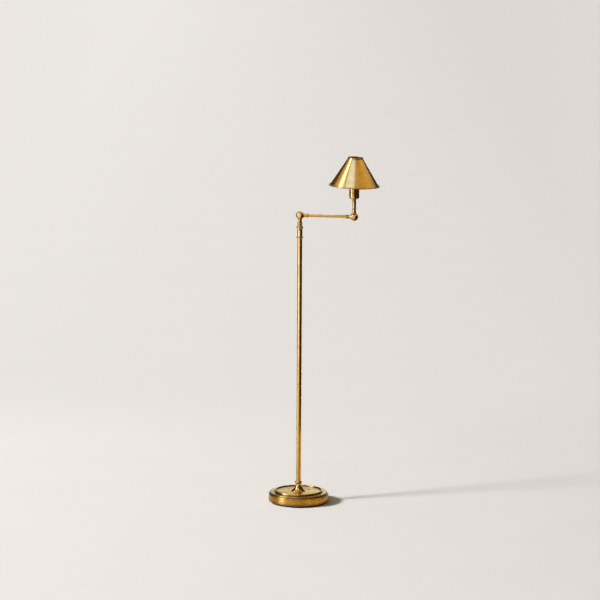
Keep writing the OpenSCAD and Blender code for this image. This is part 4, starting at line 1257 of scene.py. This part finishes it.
@dataclass
class Bulb(SubAssembly):
    """Frosted bulb in the lampholder.

    Attributes:
        foot: height of the contact's tip; the heights below are measured from it.
        neck: where the neck's lower end is, inside the cap.
        widest, radius: where the glass is widest, and its radius there.
        neck_r, flank_r: radius of the neck in the cap and of the hollow flank.
        glass: thickness of the glass.
    """

    foot: float = 1280.2
    neck: float = 12.0
    widest: float = 76.0
    radius: float = 30.0
    neck_r: float = 12.3
    flank_r: float = 45.0
    glass: float = 0.8

    def _skin(self, inset: float) -> list[Point]:
        """One face of the glass, drawn in by inset, from the neck to the crown."""
        middle = self.foot + self.widest
        reach, slim = self.radius + self.flank_r, self.neck_r + self.flank_r
        drop, turn = math.sqrt(reach**2 - slim**2), math.degrees(math.acos(slim / reach))
        way = [(self.neck_r - inset, self.foot + self.neck)]
        way += arc(slim, middle - drop, self.flank_r + inset, 180, 180 - turn, 14)
        way += arc(0.0, middle, self.radius - inset, -turn, 90, 36)[1:-1]
        return way + [(0.0, middle + self.radius - inset)]

    def build(self) -> None:
        """Builds the glass and dresses the cap."""
        loop = self._skin(0.0) + self._skin(self.glass)[::-1]
        piece = Turning(loop, centre=HEAD_CENTRE).make("blown_bulb_glass")
        self.stand_for(piece, BULB_GLASS, "head", "bulb_glass", "bulb_glass")
        self.keep(ROLLED_ALUMINIUM, "bulb_cap", "bulb_contact")


@dataclass
class Leads(SubAssembly):
    """The lead inside the lamp, in the stretches that the joints make of it."""

    def build(self) -> None:
        """Dresses the leads."""
        self.keep(LEAD_SHEATH, "lead_column", "lead_neck", "lead_arm", "lead_head")


# ---- studio ----


@dataclass(frozen=True)
class PlasterFloor(Finish):
    """Lime plaster, trowelled and painted pale, as the studio's floor.

    It gives the eye a plain pale ground with the faintest trowel clouds, and painted light:
    paler on the key light's side and greyer on the other, as the light falls off, with less
    of that change beyond the lamp.

    Attributes:
        front: the ground's colour before the lamp, on the left and on the right, with the light's
            fall-off painted in.
        back: its colour beyond the lamp, on the left and on the right, with the fall-off painted
            in.
        yaw: of the view that left and right are meant from, in degrees.
        reach: how far to either side the colour still changes, in metres.
        depth: how far behind the lamp it changes, from and to, in metres.
        trowel: size of the trowel clouds in millimetres.
        cloudy: how far they push the change of colour aside, in metres.
    """

    front: tuple[str, str] = ("EDE9E4", "CAC6C1")
    back: tuple[str, str] = ("E3E0DB", "CFCBC6")
    yaw: float = 9.0
    reach: float = 1.7
    depth: Point = (1.0, 2.6)
    trowel: float = 420.0
    cloudy: float = 0.5

    def _shader(self, nodes: Nodes) -> Socket:
        """Builds the plaster."""
        place = nodes.place()
        turned = nodes.out(
            "ShaderNodeVectorRotate",
            {"Vector": place, "Angle": -math.radians(self.yaw)},
            rotation_type="Z_AXIS",
        )
        split = add_node(nodes.tree, "ShaderNodeSeparateXYZ", {0: turned}).outputs
        cloud = nodes.noise(place, self.trowel, 6.0, 0.6)
        shifted = nodes.maths("MULTIPLY_ADD", cloud, self.cloudy, split["X"])
        middle = self.cloudy / 2
        # Painted light: the colour goes from pale on the key light's side to grey on the other, as
        # the light falls off
        across = nodes.fit(shifted, (middle - self.reach, middle + self.reach))
        beyond = nodes.fit(split["Y"], self.depth, interpolation_type="SMOOTHSTEP")
        rows = [nodes.mix(across, linear(a), linear(b)) for a, b in (self.front, self.back)]
        sockets = {"Color": nodes.mix(beyond, *rows), "Roughness": 0.6}
        return nodes.out("ShaderNodeBsdfDiffuse", sockets)


# Points, faces and place of a sheet of the studio
Form = tuple[list[Any], list[tuple[int, ...]], Matrix]
# Corners of a square two wide, and the straight parts of a curved screen
SQUARE = ((-1, -1), (1, -1), (1, 1), (-1, 1))
CHORDS = 36


def stage_sheet(name: str, form: Form, finish: Finish) -> bpy.types.Object:
    """Makes a sheet of the studio, which is no part of the lamp.

    Args:
        name: the sheet's name.
        form: its points, faces and place.
        finish: what it is made of.

    Returns:
        The sheet.
    """
    verts, faces, place = form
    mesh = bpy.data.meshes.new(name)
    mesh.from_pydata(verts, [], faces)
    sheet = finish.dress(new_object(name, mesh))
    sheet.matrix_world = place
    return sheet


# Places round the lamp are given by an angle in degrees, left (-) or right (+) of the
# camera, and a distance and a height in metres
@dataclass(frozen=True)
class Screen:
    """A curved strip that stands or lies round the lamp, seen only in what is polished.

    Attributes:
        name: its name.
        start: angle of its left edge.
        end: angle of its right edge.
        first: distance and height of one long edge, in metres.
        last: distance and height of the other.
        light: the light that it gives, or a dark colour.
    """

    name: str
    start: float
    end: float
    first: Point
    last: Point
    light: Colour

    def form(self, studio: Studio) -> Form:
        """Its points and faces, in place."""
        verts = []
        for i in range(CHORDS + 1):
            angle = self.start + (self.end - self.start) * i / CHORDS
            verts += [studio.spot(angle, *self.first), studio.spot(angle, *self.last)]
        faces = [(2 * i, 2 * i + 2, 2 * i + 3, 2 * i + 1) for i in range(CHORDS)]
        return verts, faces, Matrix()


@dataclass(frozen=True)
class Panel:
    """A flat panel that hangs over the lamp, seen only in what is polished.

    Attributes:
        name: its name.
        centre: angle, distance and height of its middle.
        size: its width and height in metres.
        light: the light that it gives, or a dark colour.
        aim: the point that it faces, or none where it faces straight down.
    """

    name: str
    centre: tuple[float, float, float]
    size: Point
    light: Colour
    aim: Vector | None = None

    def form(self, studio: Studio) -> Form:
        """Its points and face, and what turns and lifts them to their place."""
        wide, high = self.size
        verts = [(x * wide / 2, y * high / 2, 0) for x, y in SQUARE]
        centre = studio.spot(*self.centre)
        facing = (self.aim or Vector((*centre.xy, 0.0))) - centre
        turned = facing.to_track_quat("Z", "Y").to_matrix().to_4x4()
        return verts, [(0, 1, 2, 3)], Matrix.Translation(centre) @ turned


# Brass takes the blue out of what it mirrors, so the lights have far more blue than red
BRIGHT: Colour = (3.1, 4.2, 13.0, 1.0)
DIM: Colour = (1.7, 2.2, 4.6, 1.0)
DARK: Colour = (0.05, 0.03, 0.012, 1.0)
# Height in metres at which a mat lies, and the middle of the shade
LAID = 0.003
SHADE_MIDDLE = Vector((0.22, 0.0, 1.35))

# What the metal mirrors: angles from and to, one edge and the other, and the light
MIRRORED: tuple[Screen | Panel, ...] = (
    Screen("window_tall", -80, -56, (3.0, 0.0), (3.0, 2.3), BRIGHT),
    Screen("window_upper", -87, -74, (3.0, 2.5), (3.0, 6.0), BRIGHT),
    Screen("window_low", -56, -10, (3.0, 0.0), (3.0, 0.76), (2.15, 2.8, 7.6, 1.0)),
    Screen("window_mid", -10, 16, (3.0, 0.28), (3.0, 0.66), (1.9, 2.5, 6.0, 1.0)),
    Screen("window_on_floor", -58, -42, (0.17, LAID), (0.6, LAID), DIM),
    Panel("softbox_over", (-20, 1.5, 3.15), (1.6, 1.1), (1.35, 2.55, 9.5, 1.0), SHADE_MIDDLE),
    Panel("softbox_right", (100, 1.8, 2.9), (1.2, 1.0), (1.0, 0.95, 0.9, 1.0), SHADE_MIDDLE),
    Panel("screen_overhead", (80, 0.6, 2.7), (0.85, 0.85), DARK),
    Screen("screen_edge", 127, 160, (1.9, 1.85), (1.9, 2.5), DARK),
    Screen("window_far_on_floor", -95, -52, (0.62, LAID), (2.4, LAID), (1.35, 1.6, 2.4, 1.0)),
    Screen("mat_under_arm", -30, 40, (0.42, LAID), (0.78, LAID), (0.62, 0.55, 0.42, 1.0)),
    Screen("mat_foot_near", 40, 66, (0.2, LAID), (0.38, LAID), (0.5, 0.44, 0.36, 1.0)),
    Screen("mat_foot_far", 66, 150, (0.2, LAID), (0.38, LAID), (0.3, 0.25, 0.18, 1.0)),
    Screen("screen_front", -44, 14, (3.1, 0.76), (3.1, 2.3), DARK),
    Screen("screen_right", 5, 160, (1.9, 0.0), (1.9, 1.85), DARK),
    Screen("screen_foot", 8, 150, (0.45, 0.2), (0.45, 0.95), DARK),
    Screen("mat_right", 10, 160, (1.5, LAID), (1.9, LAID), (0.10, 0.06, 0.03, 1.0)),
    Screen("screen_left", -112, -88, (2.6, 0.0), (2.6, 2.4), (0.32, 0.22, 0.12, 1.0)),
    Screen("screen_back_left", -175, -112, (2.6, 0.0), (2.6, 2.75), DARK),
    Screen("backdrop_far", 150, 210, (5.0, 0.0), (5.0, 3.2), (0.95, 1.06, 0.84, 1.0)),
)


@dataclass
class Studio:
    """Floor, light and camera.

    Attributes:
        distance: level distance of the camera from the lamp's axis in metres.
        height: of the camera in metres.
        yaw: of the camera round the lamp, in degrees, toward the arm's end.
        aside: how far the camera looks past the lamp's axis, to the right, in degrees.
        pitch: of the camera below level, in degrees.
        roll: of the camera in degrees.
        lens, sensor: length of the lens and width of the sensor in millimetres.
        sight: how far the camera sees, in metres.
        reach: of the floor to either side, in metres.
        ground: colour of what lies beyond the floor.
        ambient: strength of the sky that lights the scene.
        ambient_lean: how much brighter the sky is on the key light's side, from 0 to 1.
        sky_far, sky_near: the sky's tint away from the key light and on its side.
        key, key_tint: strength and colour of the key light on all that isn't mirrored.
        key_azimuth: where it stands, left (-) of the camera, in degrees.
        key_rise, key_wide: how high it stands and how wide it looks, in degrees.
        glint, glint_tint, glint_azimuth: the key light's strength, colour and place as
            the metal shows it.
    """

    distance: float = 14.2
    height: float = 3.2
    yaw: float = 9.0
    aside: float = 0.0076
    pitch: float = 9.48
    roll: float = 0.31
    lens: float = 215.25
    sensor: float = 36.0
    sight: float = 200.0
    reach: float = 90.0
    ground: str = "E7E2DC"
    ambient: float = 0.22
    ambient_lean: float = 0.85
    sky_far: Colour = (1.6, 1.15, 0.6, 1.0)
    sky_near: Colour = (1.25, 1.35, 1.2, 1.0)
    key: float = 4.5
    key_tint: tuple[float, float, float] = (0.94, 0.955, 1.03)
    key_azimuth: float = -70.0
    key_rise: float = 32.6
    key_wide: float = 11.0
    glint: float = 1.1
    glint_tint: tuple[float, float, float] = (0.7, 1.35, 5.5)
    glint_azimuth: float = -79.0

    def spot(self, azimuth: float, out: float, up: float) -> Vector:
        """A place by its angle left (-) or right (+) of the camera, its distance and height."""
        turn = math.radians(self.yaw + azimuth)
        return Vector((math.sin(turn) * out, -math.cos(turn) * out, up))

    def camera(self) -> None:
        """Makes the camera at the photograph's viewing angle."""
        data = bpy.data.cameras.new("view")
        data.lens, data.sensor_width, data.clip_end = self.lens, self.sensor, self.sight
        made = new_object("view", data)
        made.location = self.spot(0.0, self.distance, self.height)
        turn = math.radians(self.yaw - self.aside)
        look = Vector((-math.sin(turn), math.cos(turn), -math.tan(math.radians(self.pitch))))
        roll = Matrix.Rotation(math.radians(self.roll), 4, "Z").to_quaternion()
        made.rotation_mode = "QUATERNION"
        made.rotation_quaternion = look.to_track_quat("-Z", "Y") @ roll
        bpy.context.scene.camera = made

    def floor(self) -> None:
        """Lays the pale floor."""
        corners = [(x * self.reach, y * self.reach, 0) for x, y in SQUARE]
        plaster = PlasterFloor("plaster_trowelled_pale", yaw=self.yaw)
        stage_sheet("studio_floor", (corners, [(0, 1, 2, 3)], Matrix()), plaster)

    def world(self) -> None:
        """Lights the scene evenly, and shows the ground's colour to the eye and in the metal."""
        sky = bpy.data.worlds.new("studio")
        bpy.context.scene.world = sky
        sky.use_nodes = True
        sky.node_tree.nodes.clear()
        nodes = Nodes(sky.node_tree)
        path = add_node(sky.node_tree, "ShaderNodeLightPath").outputs
        seen = nodes.maths("MAXIMUM", path["Is Camera Ray"], path["Is Glossy Ray"])
        shown = nodes.maths("MAXIMUM", seen, path["Is Transmission Ray"])
        # The sky is brighter on the key light's side
        sight = nodes.out("ShaderNodeTexCoord", {}, "Generated")
        toward = nodes.vector("DOT_PRODUCT", sight, self.spot(-90, 1.0, 0.0))
        lean = self.ambient * self.ambient_lean
        level = nodes.maths("MULTIPLY_ADD", toward, lean, self.ambient)
        hue = nodes.mix(nodes.fit(toward, (-1.0, 1.0)), self.sky_far, self.sky_near)
        plain = nodes.out("ShaderNodeBackground", {"Color": hue, "Strength": level})
        ground = {"Color": linear(self.ground), "Strength": 1.0}
        pale = nodes.out("ShaderNodeBackground", ground)
        mixed = nodes.out("ShaderNodeMixShader", {0: shown, 1: plain, 2: pale})
        add_node(sky.node_tree, "ShaderNodeOutputWorld", {"Surface": mixed})

    def _sun(
        self, name: str, azimuth: float, energy: float, tint: Sequence[float], glossy: bool
    ) -> None:
        """The key light, as a lamp that lights or one that only glints.

        Args:
            name: the lamp's name.
            azimuth: where it stands, left (-) of the camera, in degrees.
            energy: its strength.
            tint: its colour.
            glossy: whether it shows in what is polished, and nowhere else.
        """
        data = bpy.data.lights.new(name, "SUN")
        data.energy, data.angle, data.color = energy, math.radians(self.key_wide), tint
        sun = new_object(name, data)
        source = self.spot(azimuth, 1.0, math.tan(math.radians(self.key_rise)))
        sun.rotation_mode = "QUATERNION"
        sun.rotation_quaternion = source.to_track_quat("Z", "Y")
        sun.visible_glossy, sun.visible_diffuse = glossy, not glossy

    def lights(self) -> None:
        """Hangs the key light and all that the metal mirrors."""
        self._sun("key", self.key_azimuth, self.key, self.key_tint, False)
        self._sun("key_glint", self.glint_azimuth, self.glint, self.glint_tint, True)
        for sheet in MIRRORED:
            made = stage_sheet(sheet.name, sheet.form(self), Glow(sheet.name, sheet.light))
            made.visible_camera = made.visible_diffuse = made.visible_shadow = False

    def build(self) -> None:
        """Sets up the studio."""
        self.camera()
        self.floor()
        self.world()
        self.lights()
        bpy.context.scene.view_settings.view_transform = "Standard"


def main() -> None:
    """Builds the lamp's looks and the studio round it, in order."""
    logging.basicConfig(level=logging.INFO, format="%(name)s %(message)s")
    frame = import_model()
    for kind in (Base, Column, Swivel, Arm, Head, Shade, Bulb, Leads):
        part = kind(frame["nodes"])
        part.build()
        part.report()
    Studio().build()


if __name__ == "__main__":
    main()
